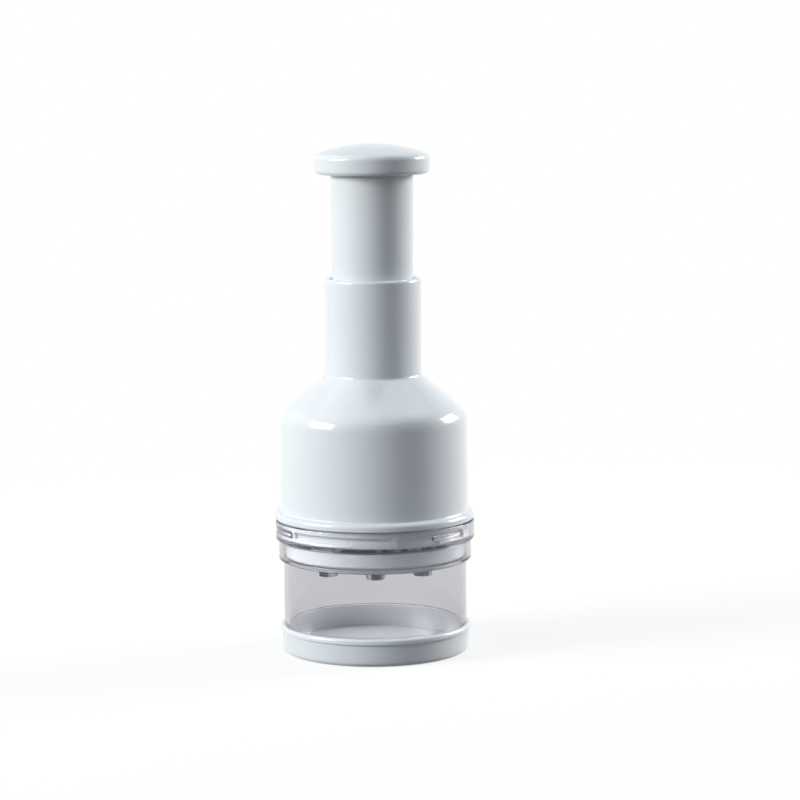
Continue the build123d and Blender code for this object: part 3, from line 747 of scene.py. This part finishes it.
@dataclass
class BaseCap:
    """The white cap under the clear cup."""

    floor: float = 2.4
    top: float = 11.6
    wall_radius: float = 39.0
    foot_radius: float = 38.4
    lip_radius: float = 39.65
    lip_height: float = 2.3
    bore_radius: float = 37.4
    foot_recess: float = 0.6
    foot_width: float = 3.0
    foot_fillet: float = 2.2
    lip_rounding: float = 1.1

    def build(self, paint: Paint) -> bpy.types.Object:
        """Turns the cap with its rounded lip and foot ring.

        Args:
            paint: the finishes.

        Returns:
            The cap, which stands for base_cap.
        """
        foot_bore = self.foot_radius - self.foot_fillet - self.foot_width
        under_lip = self.top - self.lip_height
        profile = rounded(
            [
                Corner(0, self.foot_recess),
                Corner(foot_bore, self.foot_recess, Edge.light),
                Corner(foot_bore, 0, Edge.fine),
                Corner(self.foot_radius, 0, self.foot_fillet),
                Corner(self.wall_radius, under_lip, Edge.slight),
                Corner(self.lip_radius, under_lip, Edge.light),
                Corner(self.lip_radius, self.top, self.lip_rounding),
                Corner(self.bore_radius, self.top, Edge.soft),
                Corner(self.bore_radius, self.floor, Edge.wide),
                Corner(0, self.floor),
            ],
            closed=False,
        )
        cap = turned("cap_shell", profile, closed=False)
        paint.dress(cap, Finish.white_plastic)
        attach(cap, "base")
        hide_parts("base_cap")
        return cap


@dataclass
class Bayonet:
    """The three-lug joint between cup and housing. Angles are in degrees from the front."""

    count: int = 3
    lug_centre: float = 49.0
    lug_width: float = 26.0
    lug_low: float = 50.7
    lug_height: float = 1.8
    lug_radius: float = 38.3
    twist: float = 22.0
    angle_gap: float = 0.4
    post: float = 4.0
    foot: float = 24.0
    rib: float = 2.6
    foot_height: float = 1.1
    overlap: float = 0.1

    def places(self) -> list[float]:
        """Turns of the equal features round the axis."""
        return [k * FULL_TURN / self.count for k in range(self.count)]

    def lugs(self, bore_radius: float) -> list[Step]:
        """The lugs as steps in the collar's bore, whose radius is given."""
        start = self.lug_centre - self.lug_width / 2
        end = self.lug_centre + self.lug_width / 2
        high = self.lug_low + self.lug_height
        return [
            Step(start + turn, end + turn, self.lug_low, high, bore_radius, self.lug_radius)
            for turn in self.places()
        ]

    def grooves(
        self, rim_low: float, rim_top: float, skirt: float, clear: Clearances
    ) -> list[Step]:
        """The L groove and its entry gaps as steps in the housing's skirt.

        Args:
            rim_low: height of the rim's underside.
            rim_top: height of the rim's top, where the groove starts.
            skirt: the skirt's radius.
            clear: the gaps.

        Returns:
            Steps for travel, spare, over the foot and entry, each three times.
        """
        groove = self.lug_radius - clear.running
        high = self.lug_low + self.lug_height + clear.running
        post_end = self.lug_centre - self.lug_width / 2 - self.twist - self.angle_gap
        lock = self.lug_centre + self.lug_width / 2 + self.angle_gap
        foot_start = post_end - self.post - self.foot
        spans = [
            (post_end, lock, rim_top, high),
            (lock + self.rib, foot_start + FULL_TURN / self.count, rim_top, high),
            (foot_start - self.rib, post_end - self.post, rim_top + self.foot_height, high),
            (post_end, lock - self.twist, rim_low - clear.running, rim_top + self.overlap),
        ]
        return [
            Step(start + turn, end + turn, low, top, skirt, groove)
            for turn in self.places()
            for start, end, low, top in spans
        ]


@dataclass
class ClearCup:
    """The clear cup with its two outer steps and the collar's lugs."""

    foot_z: float = 2.4
    shoulder_z: float = 11.9
    step_z: float = 38.6
    step_ledge_z: float = 40.0
    collar_z: float = 47.1
    collar_ledge_z: float = 48.7
    top_z: float = 55.3
    bore: float = 35.8
    tongue: float = 37.1
    wall: float = 37.85
    step_bore: float = 38.2
    step_wall: float = 39.85
    collar_bore: float = 39.5
    collar_wall: float = 41.15
    edge: float = 0.9
    divisions: int = 300
    bayonet: Bayonet = field(default_factory=Bayonet)

    def build(self, paint: Paint) -> bpy.types.Object:
        """Turns the cup as one closed wall and sets the lugs in its collar.

        Args:
            paint: the finishes.

        Returns:
            The cup, which stands for chopping_cup.
        """
        profile = rounded(
            [
                Corner(self.bore, self.foot_z, Edge.crisp),
                Corner(self.tongue, self.foot_z, Edge.soft),
                Corner(self.tongue, self.shoulder_z, Edge.crisp),
                Corner(self.wall, self.shoulder_z, Edge.light),
                Corner(self.wall, self.step_z, Edge.broad),
                Corner(self.step_wall, self.step_z, self.edge),
                Corner(self.step_wall, self.collar_z, Edge.broad),
                Corner(self.collar_wall, self.collar_z, self.edge),
                Corner(self.collar_wall, self.top_z, Edge.full),
                Corner(self.collar_bore, self.top_z, Edge.soft),
                Corner(self.collar_bore, self.collar_ledge_z, Edge.crisp),
                Corner(self.step_bore, self.collar_ledge_z, Edge.soft),
                Corner(self.step_bore, self.step_ledge_z, Edge.crisp),
                Corner(self.bore, self.step_ledge_z, Edge.soft),
            ],
            closed=True,
        )
        lugs = self.bayonet.lugs(self.collar_bore)
        cup = turned("clear_cup", profile, closed=True, steps=lugs, count=self.divisions)
        paint.dress(cup, Finish.clear_plastic)
        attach(cup, "cup")
        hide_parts("chopping_cup")
        return cup


@dataclass
class Housing:
    """The bottle-shaped housing with its skirt inside the clear collar."""

    lip_z: float = 48.1
    lip_top_z: float = 49.8
    skirt_foot_z: float = 48.4
    rim_z: float = 49.0
    rim_top_z: float = 50.4
    flange_z: float = 55.6
    body_z: float = 58.9
    shoulder_z: float = 99.8
    neck_z: float = 115.0
    neck_top_z: float = 155.0
    lip_radius: float = 33.9
    lip_seat: float = 34.85
    foot_radius: float = 37.5
    skirt_radius: float = 39.2
    skirt_bore: float = 35.6
    flange_radius: float = 41.2
    body_bottom: float = 38.9
    body_top: float = 38.25
    neck_radius: float = 19.85
    neck_bore: float = 17.35
    wall: float = 2.2
    flange_rounding: float = 1.6
    shoulder_rounding: float = 7.5
    inner_rounding: float = 5.0
    neck_crease: float = 1.6
    neck_mouth: float = 1.2
    divisions: int = 260
    boss_count: int = 3
    boss_turn: float = 90.0
    boss_circle: float = 27.5
    boss_radius: float = 4.0
    boss_z: float = 83.0
    boss_divisions: int = 40
    bayonet: Bayonet = field(default_factory=Bayonet)
    clear: Clearances = field(default_factory=Clearances)

    def _slope(self) -> tuple[float, float]:
        """Slope of the shoulder, and the height of its wall along the axis."""
        slope = (self.neck_z - self.shoulder_z) / (self.body_top - self.neck_radius)
        return slope, self.wall * math.sqrt(1 + slope**2)

    def shell(self) -> bpy.types.Object:
        """Turns the whole wall as one closed profile and cuts the bayonet grooves in its skirt."""
        slope, drop = self._slope()
        inner_z = self.shoulder_z + self.wall * slope - drop
        bore_foot_z = self.shoulder_z + (self.body_top - self.neck_bore) * slope - drop
        profile = rounded(
            [
                Corner(self.lip_radius, self.lip_z, Edge.crisp),
                Corner(self.lip_seat, self.lip_z, Edge.hairline),
                Corner(self.lip_seat, self.skirt_foot_z, Edge.hairline),
                Corner(self.foot_radius, self.skirt_foot_z, Edge.slight),
                Corner(self.foot_radius, self.rim_z, Edge.crisp),
                Corner(self.skirt_radius, self.rim_z, Edge.fine),
                Corner(self.skirt_radius, self.flange_z, Edge.crisp),
                Corner(self.flange_radius, self.flange_z, Edge.broad),
                Corner(self.flange_radius, self.body_z, self.flange_rounding),
                Corner(self.body_bottom, self.body_z, Edge.broad),
                Corner(self.body_top, self.shoulder_z, self.shoulder_rounding),
                Corner(self.neck_radius, self.neck_z, self.neck_crease),
                Corner(self.neck_radius, self.neck_top_z, self.neck_mouth),
                Corner(self.neck_bore, self.neck_top_z, Edge.wide),
                Corner(self.neck_bore, bore_foot_z, Edge.full),
                Corner(self.body_top - self.wall, inner_z, self.inner_rounding),
                Corner(self.body_bottom - self.wall, self.body_z, Edge.full),
                Corner(self.skirt_bore, self.flange_z, Edge.full),
                Corner(self.skirt_bore, self.lip_top_z, Edge.light),
                Corner(self.lip_radius, self.lip_top_z, Edge.light),
            ],
            closed=True,
        )
        steps = self.bayonet.grooves(self.rim_z, self.rim_top_z, self.skirt_radius, self.clear)
        return turned("housing_wall", profile, closed=True, steps=steps, count=self.divisions)

    def bosses(self) -> list[bpy.types.Object]:
        """The screw bosses: round posts that end inside the shoulder's wall."""
        slope, drop = self._slope()
        middle = self.shoulder_z - drop / 2 + (self.body_top - self.boss_circle) * slope
        top = middle - self.boss_radius * slope / 2
        profile = rounded(
            [
                Corner(0, self.boss_z),
                Corner(self.boss_radius, self.boss_z, Edge.light),
                Corner(self.boss_radius, top, Edge.light),
                Corner(0, top),
            ],
            closed=False,
        )
        made = []
        for k in range(self.boss_count):
            way = math.radians(self.boss_turn + k * FULL_TURN / self.boss_count)
            centre = (self.boss_circle * math.cos(way), self.boss_circle * math.sin(way))
            name = f"screw_boss_{k + 1}"
            made.append(turned(name, profile, False, count=self.boss_divisions, centre=centre))
        return made

    def build(self, paint: Paint) -> bpy.types.Object:
        """Makes the shell and its bosses.

        Args:
            paint: the finishes.

        Returns:
            The shell, which stands for housing_shell.
        """
        shell = self.shell()
        for piece in (shell, *self.bosses()):
            paint.dress(piece, Finish.white_plastic)
            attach(piece, "housing")
        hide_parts("housing_shell")
        return shell


@dataclass
class Plunger:
    """The sliding tube and the palm knob on its spigot."""

    foot_z: float = 117.5
    web_z: float = 186.0
    web_top_z: float = 189.0
    knob_z: float = 197.6
    top_z: float = 210.0
    spigot_height: float = 5.8
    foot_radius: float = 16.44
    top_radius: float = 17.0
    bore_radius: float = 14.44
    spigot_radius: float = 15.9
    wall: float = 2.0
    journal: float = 2.88
    key_top_z: float = 151.3
    key_height: float = 4.1
    key_half: float = 6.2
    key_radius: float = 18.5
    key_places: tuple[float, ...] = (120.0, 240.0, 360.0)
    knob_radius: float = 23.85
    knob_inset: float = 0.3
    knob_edge: float = 2.0
    knob_stride: float = 0.8
    dome: float = 66.0
    dome_steps: int = 24
    brow: float = 2.5
    brow_steps: int = 10
    web_fillet: float = 1.2
    divisions: int = 200
    clear: Clearances = field(default_factory=Clearances)

    def tube(self) -> bpy.types.Object:
        """Turns the tube with its inner web and sets the three keys on it."""
        spigot_z = self.knob_z + self.spigot_height
        spigot_bore = self.spigot_radius - self.wall
        profile = rounded(
            [
                Corner(self.bore_radius, self.foot_z, Edge.soft),
                Corner(self.foot_radius, self.foot_z, Edge.full),
                Corner(self.top_radius, self.knob_z, Edge.crisp),
                Corner(self.spigot_radius, self.knob_z, Edge.crisp),
                Corner(self.spigot_radius, spigot_z, Edge.full),
                Corner(spigot_bore, spigot_z, Edge.light),
                Corner(spigot_bore, self.web_top_z, Edge.wide),
                Corner(self.journal, self.web_top_z, Edge.fine),
                Corner(self.journal, self.web_z, Edge.fine),
                Corner(self.bore_radius, self.web_z, self.web_fillet),
            ],
            closed=True,
        )
        low = self.key_top_z - self.key_height
        half, tall = self.key_half, self.key_top_z
        keys = [
            Step(place - half, place + half, low, tall, self.top_radius, self.key_radius)
            for place in self.key_places
        ]
        return turned("plunger_sleeve", profile, closed=True, steps=keys, count=self.divisions)

    def knob(self) -> bpy.types.Object:
        """Turns the knob: a straight side under a dome that is an arc of one sphere.

        The brow between them is a circle that touches the side and the sphere from within, so its
        centre lies one brow inside both.
        """
        centre_z = self.top_z - self.dome
        brow_r = self.knob_radius - self.brow
        brow_z = centre_z + math.sqrt((self.dome - self.brow) ** 2 - brow_r**2)
        tilt = math.atan2(brow_z - centre_z, brow_r)
        low = np.linspace(0, tilt, self.brow_steps)
        high = np.linspace(tilt, math.pi / 2, self.dome_steps)
        brow = (brow_r, brow_z) + self.brow * np.stack([np.cos(low), np.sin(low)], axis=1)
        dome = (0, centre_z) + self.dome * np.stack([np.cos(high), np.sin(high)], axis=1)
        socket = self.spigot_radius + self.clear.seat
        socket_z = self.knob_z + self.spigot_height + self.clear.seat
        skirt = rounded(
            [
                Corner(0, socket_z),
                Corner(socket, socket_z, Edge.light),
                Corner(socket, self.knob_z, Edge.fine),
                Corner(self.knob_radius - self.knob_inset, self.knob_z, self.knob_edge),
                Corner(self.knob_radius, brow_z),
            ],
            closed=False,
            stride=self.knob_stride,
        )
        profile = np.concatenate([skirt, brow[1:], dome[1:]])
        return turned("palm_knob", profile, closed=False, count=self.divisions)

    def build(self, paint: Paint) -> list[bpy.types.Object]:
        """Makes the tube and the knob.

        Args:
            paint: the finishes.

        Returns:
            Both pieces, which stand for plunger_tube and knob.
        """
        pieces = {"plunger_tube": self.tube(), "knob": self.knob()}
        for node, piece in pieces.items():
            paint.dress(piece, Finish.white_plastic)
            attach(piece, "plunger")
            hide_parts(node)
        return list(pieces.values())


@dataclass
class Wiper:
    """The slotted disc under the housing and the bright ring above it."""

    ring_bore: float = 33.65
    ring_outer: float = 36.05
    ring_z: float = 46.9
    ring_thickness: float = 0.9
    ring_edge: float = 0.15
    split_angle: float = 35.0
    split_width: float = 2.0
    divisions: int = 180

    def ring(self) -> bpy.types.Object:
        """The split ring: a flat section with broken edges carried round all but the split.

        The split's angle is counted from the front, and the ring's points from +X.
        """
        middle = (self.ring_bore + self.ring_outer) / 2
        half = (self.ring_outer - self.ring_bore) / 2
        opening = self.split_width / 2 / middle
        start = math.radians(self.split_angle - 90.0) + opening
        way = np.linspace(start, start + 2 * math.pi - 2 * opening, self.divisions)
        side = np.stack([np.cos(way), np.sin(way)], axis=1)
        high = self.ring_z + self.ring_thickness
        near, far = -half, half
        e = self.ring_edge
        outline = [
            (near + e, self.ring_z),
            (far - e, self.ring_z),
            (far, self.ring_z + e),
            (far, high - e),
            (far - e, high),
            (near + e, high),
            (near, high - e),
            (near, self.ring_z + e),
        ]
        section = np.array([(r, z, 0.0) for r, z in outline])
        return carried("bright_ring", side * middle, side, section, np.zeros(len(way)))

    def build(self, paint: Paint) -> list[bpy.types.Object]:
        """Copies the slotted disc with smooth shading and makes the split ring.

        Args:
            paint: the finishes.

        Returns:
            The disc and the ring, which stand for wiper_plate and thrust_ring.
        """
        disc = smoothed_copy("wiper_plate", "wiper_disc")
        ring = self.ring()
        for piece, node, finish in (
            (disc, "wiper_plate", Finish.white_plastic),
            (ring, "thrust_ring", Finish.stainless),
        ):
            paint.dress(piece, finish)
            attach(piece, "wiper")
            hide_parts(node)
        return [disc, ring]


@dataclass
class ZigzagBlade:
    """The bent strip: folds joined by straight legs, and two straight tails."""

    tip_z: float = 34.4
    seat_z: float = 74.0
    tab_top_z: float = 75.9
    circle: float = 30.0
    fold: float = 3.4
    pitch: float = 9.5
    thickness: float = 0.6
    bevel: float = 0.22
    tail: float = 28.5
    tab_width: float = 6.0
    tab_places: tuple[float, ...] = (0.0, 13.0, 13.0, 0.0)
    folds: int = 5
    fold_steps: int = 20
    divisions: int = 160
    rows: int = 12
    tab_step: float = 0.02

    def centres(self) -> np.ndarray:
        """Centres of the folds, in turn at the front and at the back of one circle."""
        reach = self.circle - self.fold - self.thickness / 2
        k = np.arange(self.folds) - self.folds // 2
        x = k * self.pitch
        side = np.where(k % 2 == 0, -1.0, 1.0)
        return np.stack([x, side * np.sqrt(reach**2 - x**2)], axis=1)

    def route(self) -> tuple[np.ndarray, np.ndarray]:
        """Middle line of the strip from above.

        Two folds that turn opposite ways are joined by their crossed tangent: its direction is the
        line of centres turned by asin(2 r / distance), and each fold's arc runs between its
        tangent points.

        Returns:
            The points, and the path number where each straight leg starts.
        """
        centres = self.centres()
        points = [np.array([[centres[0, 0] - self.fold, centres[0, 1] + self.tail]])]
        entry = math.pi
        starts = []
        for k, centre in enumerate(centres):
            turn = 1.0 if k % 2 == 0 else -1.0
            if k + 1 < len(centres):
                span = centres[k + 1] - centre
                far = np.linalg.norm(span)
                swing = math.asin(2 * self.fold / far)
                way = math.atan2(span[1], span[0]) + turn * swing
                leave = way - turn * math.pi / 2
            else:
                leave = 0.0 if turn > 0 else math.pi
            sweep = (leave - entry) * turn % (2 * math.pi)
            angles = entry + turn * np.linspace(0, sweep, self.fold_steps)
            points.append(centre + self.fold * np.stack([np.cos(angles), np.sin(angles)], axis=1))
            starts.append(sum(len(p) for p in points) - 1)
            entry = leave + math.pi
        points.append(np.array([[centres[-1, 0] + self.fold, centres[-1, 1] + self.tail]]))
        return np.concatenate(points), np.array(starts)

    def build(self, paint: Paint) -> bpy.types.Object:
        """Carries the strip's section along its route, with a ground edge below and tabs above.

        Args:
            paint: the finishes.

        Returns:
            The blade, which stands for zigzag_blade.
        """
        corners, starts = self.route()
        spans = np.linalg.norm(np.diff(corners, axis=0), axis=1)
        length = np.concatenate([[0], np.cumsum(spans)])
        marks = [length]
        tabs = []
        for place, y in zip(starts, self.tab_places):
            a, b = corners[place], corners[place + 1]
            share = (y - a[1]) / (b[1] - a[1])
            half = self.tab_width / 2 / abs((b[1] - a[1]) / spans[place])
            middle = length[place] + share * spans[place]
            tabs.append((middle - half, middle + half))
            ends = np.array([middle - half, middle + half])
            marks += [ends - self.tab_step, ends + self.tab_step]
        marks.append(np.linspace(0, length[-1], self.divisions))
        where = np.unique(np.concatenate(marks))
        path = np.stack([np.interp(where, length, corners[:, axis]) for axis in (0, 1)], axis=1)
        way = np.gradient(path, where, axis=0)
        way /= np.linalg.norm(way, axis=1)[:, None]
        side = np.stack([way[:, 1], -way[:, 0]], axis=1)
        lift = np.zeros(len(where))
        for low, high in tabs:
            lift[(where > low) & (where < high)] = self.tab_top_z - self.seat_z
        half = self.thickness / 2
        edge = half - self.bevel
        heights = np.linspace(self.tip_z + self.bevel, self.seat_z, self.rows)
        top = (heights == self.seat_z) * 1.0
        right = np.stack([np.full(self.rows, half), heights, top], axis=1)
        left = right[::-1] * (-1, 1, 1)
        section = np.concatenate([[(edge, self.tip_z, 0)], right, left, [(-edge, self.tip_z, 0)]])
        blade = carried("folded_blade", path, side, section, lift)
        paint.dress(blade, Finish.stainless)
        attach(blade, "rotor")
        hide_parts("zigzag_blade")
        return blade


@dataclass
class ReturnSpring:
    """The compression spring, whose foot stays on the nut's washer while the plunger presses it."""

    foot_z: float = 91.7
    web_z: float = 186.0
    stroke: float = 31.5
    sharp: float = 75.0

    def build(self, paint: Paint) -> bpy.types.Object:
        """Copies the coil with smooth shading and gives it a mesh of its own.

        Args:
            paint: the finishes.

        Returns:
            The spring, which stands for return_spring.
        """
        coil = smoothed_copy("return_spring", "press_spring", self.sharp)
        paint.dress(coil, Finish.spring_steel)
        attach(coil, "housing")
        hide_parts("return_spring")
        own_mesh(coil)
        return coil


@dataclass
class InnerPieces:
    """The pieces inside the housing that keep their CAD shape and take a finish."""

    finishes: dict[str, Finish] = field(
        default_factory=lambda: {
            "blade_carrier": Finish.natural_plastic,
            "blade_backing": Finish.stainless,
            "blade_spindle": Finish.natural_plastic,
            "carrier_screw": Finish.screw_steel,
            "carrier_washer": Finish.screw_steel,
            "spindle_screw": Finish.screw_steel,
            "spindle_washer": Finish.screw_steel,
            "index_nut": Finish.natural_plastic,
            "guide_plate": Finish.natural_plastic,
            "plate_screws": Finish.screw_steel,
            "nut_washer": Finish.screw_steel,
        }
    )

    def build(self, paint: Paint) -> None:
        """Dresses each CAD node.

        Args:
            paint: the finishes.
        """
        for name, finish in self.finishes.items():
            paint.dress(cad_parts[name], finish)
            log.info("%s: CAD shape, %s", name, finish.name)


# ---------------------------------------------------------------------------- studio
@dataclass(frozen=True)
class Lamp:
    """An area lamp aimed at the object. Sizes and distances are in metres."""

    name: str
    azimuth: float
    elevation: float
    distance: float
    width: float
    height: float
    power: float
    colour: tuple[float, float, float]

    def build(self, aim: np.ndarray) -> None:
        """Hangs the lamp.

        The lamp stands at the aim plus distance times (sin a cos e, -cos a cos e, sin e), and its
        back points away from the aim.

        Args:
            aim: the point that it faces.
        """
        a, e = math.radians(self.azimuth), math.radians(self.elevation)
        away = np.array([math.sin(a) * math.cos(e), -math.cos(a) * math.cos(e), math.sin(e)])
        across = np.array([math.cos(a), math.sin(a), 0.0])
        up = np.cross(away, across)
        light = bpy.data.lights.new(self.name, "AREA")
        light.shape = "RECTANGLE"
        light.size = self.width
        light.size_y = self.height
        light.energy = self.power
        light.color = self.colour
        lamp = bpy.data.objects.new(self.name, light)
        spot = aim + away * self.distance
        axes = np.stack([across, up, away, spot], axis=1)
        lamp.matrix_world = Matrix([*axes.tolist(), [0, 0, 0, 1]])
        bpy.context.scene.collection.objects.link(lamp)


@dataclass
class Studio:
    """White surroundings with a broad lamp at each side and one above. Lengths are in metres."""

    ambient: tuple[float, float, float] = (0.03, 0.035, 0.045)
    floor_glow: float = 0.79
    through_glow: float = 0.46
    scattered_from: float = 0.5
    floor_half: float = 4.0
    floor_drop: float = 0.00002
    floor_colour: tuple[float, float, float] = (0.22, 0.222, 0.228)
    floor_drift: float = 0.015
    floor_cloud: float = 3.0
    floor_roughness: float = 0.5
    white_from: float = 0.16
    white_past: float = 0.6
    lamps: tuple[Lamp, ...] = (
        Lamp("left_softbox", -70.0, 18.0, 1.3, 0.7, 0.45, 17.6, (1.0, 0.98, 0.95)),
        Lamp("right_softbox", 114.0, 18.0, 1.3, 0.6, 0.45, 18.0, (1.0, 0.98, 0.95)),
        Lamp("top_softbox", -10.0, 80.0, 1.4, 2.5, 2.5, 13.5, (0.84, 0.94, 1.0)),
    )

    def _seen(self, graph: Graph) -> Signal:
        """How bright the surroundings are for a ray.

        They are white for the camera and in mirrors, dimmer through a clear piece, and 0 for a ray
        that has left a matt surface.

        Args:
            graph: the graph that asks.

        Returns:
            The brightness, from 0 to 1.
        """
        camera = graph.node("LightPath", output="Is Camera Ray")
        glossy = graph.node("LightPath", output="Is Glossy Ray")
        through = graph.node("LightPath", output="Is Transmission Ray")
        scattered = graph.node("LightPath", output="Diffuse Depth")
        direct = graph.maths("LESS_THAN", scattered, self.scattered_from)
        white = graph.maths("MAXIMUM", graph.maths("MAXIMUM", camera, glossy), through)
        return white * direct * (1.0 - through * (1.0 - self.through_glow))

    @staticmethod
    def _emission(graph: Graph, strength: Signal) -> Signal:
        """White light of that strength."""
        return graph.node("Emission", {"Color": (*WHITE, 1.0), "Strength": strength})

    def world(self) -> None:
        """A world that is white where it is seen and dim where it lights."""
        world = bpy.data.worlds.new("white_room")
        bpy.context.scene.world = world
        world.use_nodes = True
        graph = Graph(world.node_tree)
        seen = self._seen(graph)
        colour = graph.blend(seen, self.ambient, WHITE)
        graph.output(graph.node("Background", {"Color": colour}), "OutputWorld")

    def floor(self) -> None:
        """A wide floor: it takes shadows near the object and is an even white farther out."""
        half = self.floor_half / MM
        ends = np.array([(-half, -half), (half, -half), (half, half), (-half, half)])
        points = np.concatenate([ends, np.full((4, 1), -self.floor_drop / MM)], axis=1)
        floor = build_mesh("studio_floor", points, [np.arange(4)[None]])
        material, graph = new_material("pale_floor")
        cloud = graph.noise(graph.place(), self.floor_cloud)
        low = tuple(c * (1.0 - self.floor_drift) for c in self.floor_colour)
        colour = graph.blend(cloud, low, self.floor_colour)
        matt = graph.node("BsdfDiffuse", {"Color": colour, "Roughness": self.floor_roughness})
        seen = self._seen(graph)
        lit = self._emission(graph, seen * self.floor_glow)
        near = graph.node("AddShader", {0: matt, 1: lit})
        white = self._emission(graph, seen)
        radius = graph.node("VectorMath", {0: graph.place()}, output="Value", operation="LENGTH")
        limits = {"Value": radius, "From Min": self.white_from, "From Max": self.white_past}
        share = graph.node("MapRange", limits, interpolation_type="SMOOTHSTEP")
        blended = graph.node("MixShader", {0: share, 1: near, 2: white})
        graph.output(blended, "OutputMaterial")
        floor.data.materials.append(material)
        floor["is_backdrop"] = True

    def build(self, aim: np.ndarray) -> None:
        """Sets up the room.

        Args:
            aim: the point that the lamps face, in metres.
        """
        scene = bpy.context.scene
        scene.view_settings.view_transform = "Standard"
        self.world()
        self.floor()
        for lamp in self.lamps:
            lamp.build(aim)


@dataclass
class PhotoCamera:
    """The photograph's camera, fitted to the object's outlines. Angles are in degrees."""

    distance: float = 1.2229
    height: float = 0.2597
    pitch: float = 7.24
    roll: float = 0.49
    focal_pixels: float = 2986.8
    image_pixels: float = 800.0
    axis_pixel: float = 373.9
    sensor: float = 36.0
    near: float = 0.05

    def build(self) -> None:
        """Places the camera with its own right, up and backward axes, and its small shift."""
        pitch, roll = math.radians(self.pitch), math.radians(self.roll)
        up = np.array([0.0, math.sin(pitch), math.cos(pitch)])
        right = np.array([1.0, 0.0, 0.0])
        ahead = np.array([0.0, math.cos(pitch), -math.sin(pitch)])
        across = math.cos(roll) * right - math.sin(roll) * up
        upward = math.sin(roll) * right + math.cos(roll) * up
        spot = np.array([0.0, -self.distance, self.height])
        data = bpy.data.cameras.new("photo_camera")
        data.sensor_width = self.sensor
        data.lens = self.focal_pixels * self.sensor / self.image_pixels
        data.shift_x = (self.image_pixels / 2 - self.axis_pixel) / self.image_pixels
        data.clip_start = self.near
        camera = bpy.data.objects.new("photo_camera", data)
        axes = np.stack([across, upward, -ahead, spot], axis=1)
        camera.matrix_world = Matrix([*axes.tolist(), [0, 0, 0, 1]])
        bpy.context.scene.collection.objects.link(camera)
        bpy.context.scene.camera = camera


def corners_of_all() -> list[list[float]]:
    """Lowest and highest corner of what is shown, as plain lists."""
    return [[float(value) for value in corner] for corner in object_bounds()]


def main() -> None:
    """Builds each sub-assembly, the studio and the camera, with the lamps aimed at the middle of
    the CAD model's box.
    """
    logging.basicConfig(level=logging.INFO, format="%(name)s: %(message)s")
    cad_box = corners_of_all()
    paint = Paint()
    parts = (BaseCap(), ClearCup(), Housing(), Plunger(), Wiper(), ZigzagBlade(), ReturnSpring())
    for part in parts:
        made = part.build(paint)
        for piece in made if isinstance(made, list) else [made]:
            log.info("%s: %d faces", piece.name, len(piece.data.polygons))
    InnerPieces().build(paint)
    low, high = (np.array(corner) for corner in cad_box)
    Studio().build((low + high) / 2)
    PhotoCamera().build()


if __name__ == "__main__":
    main()
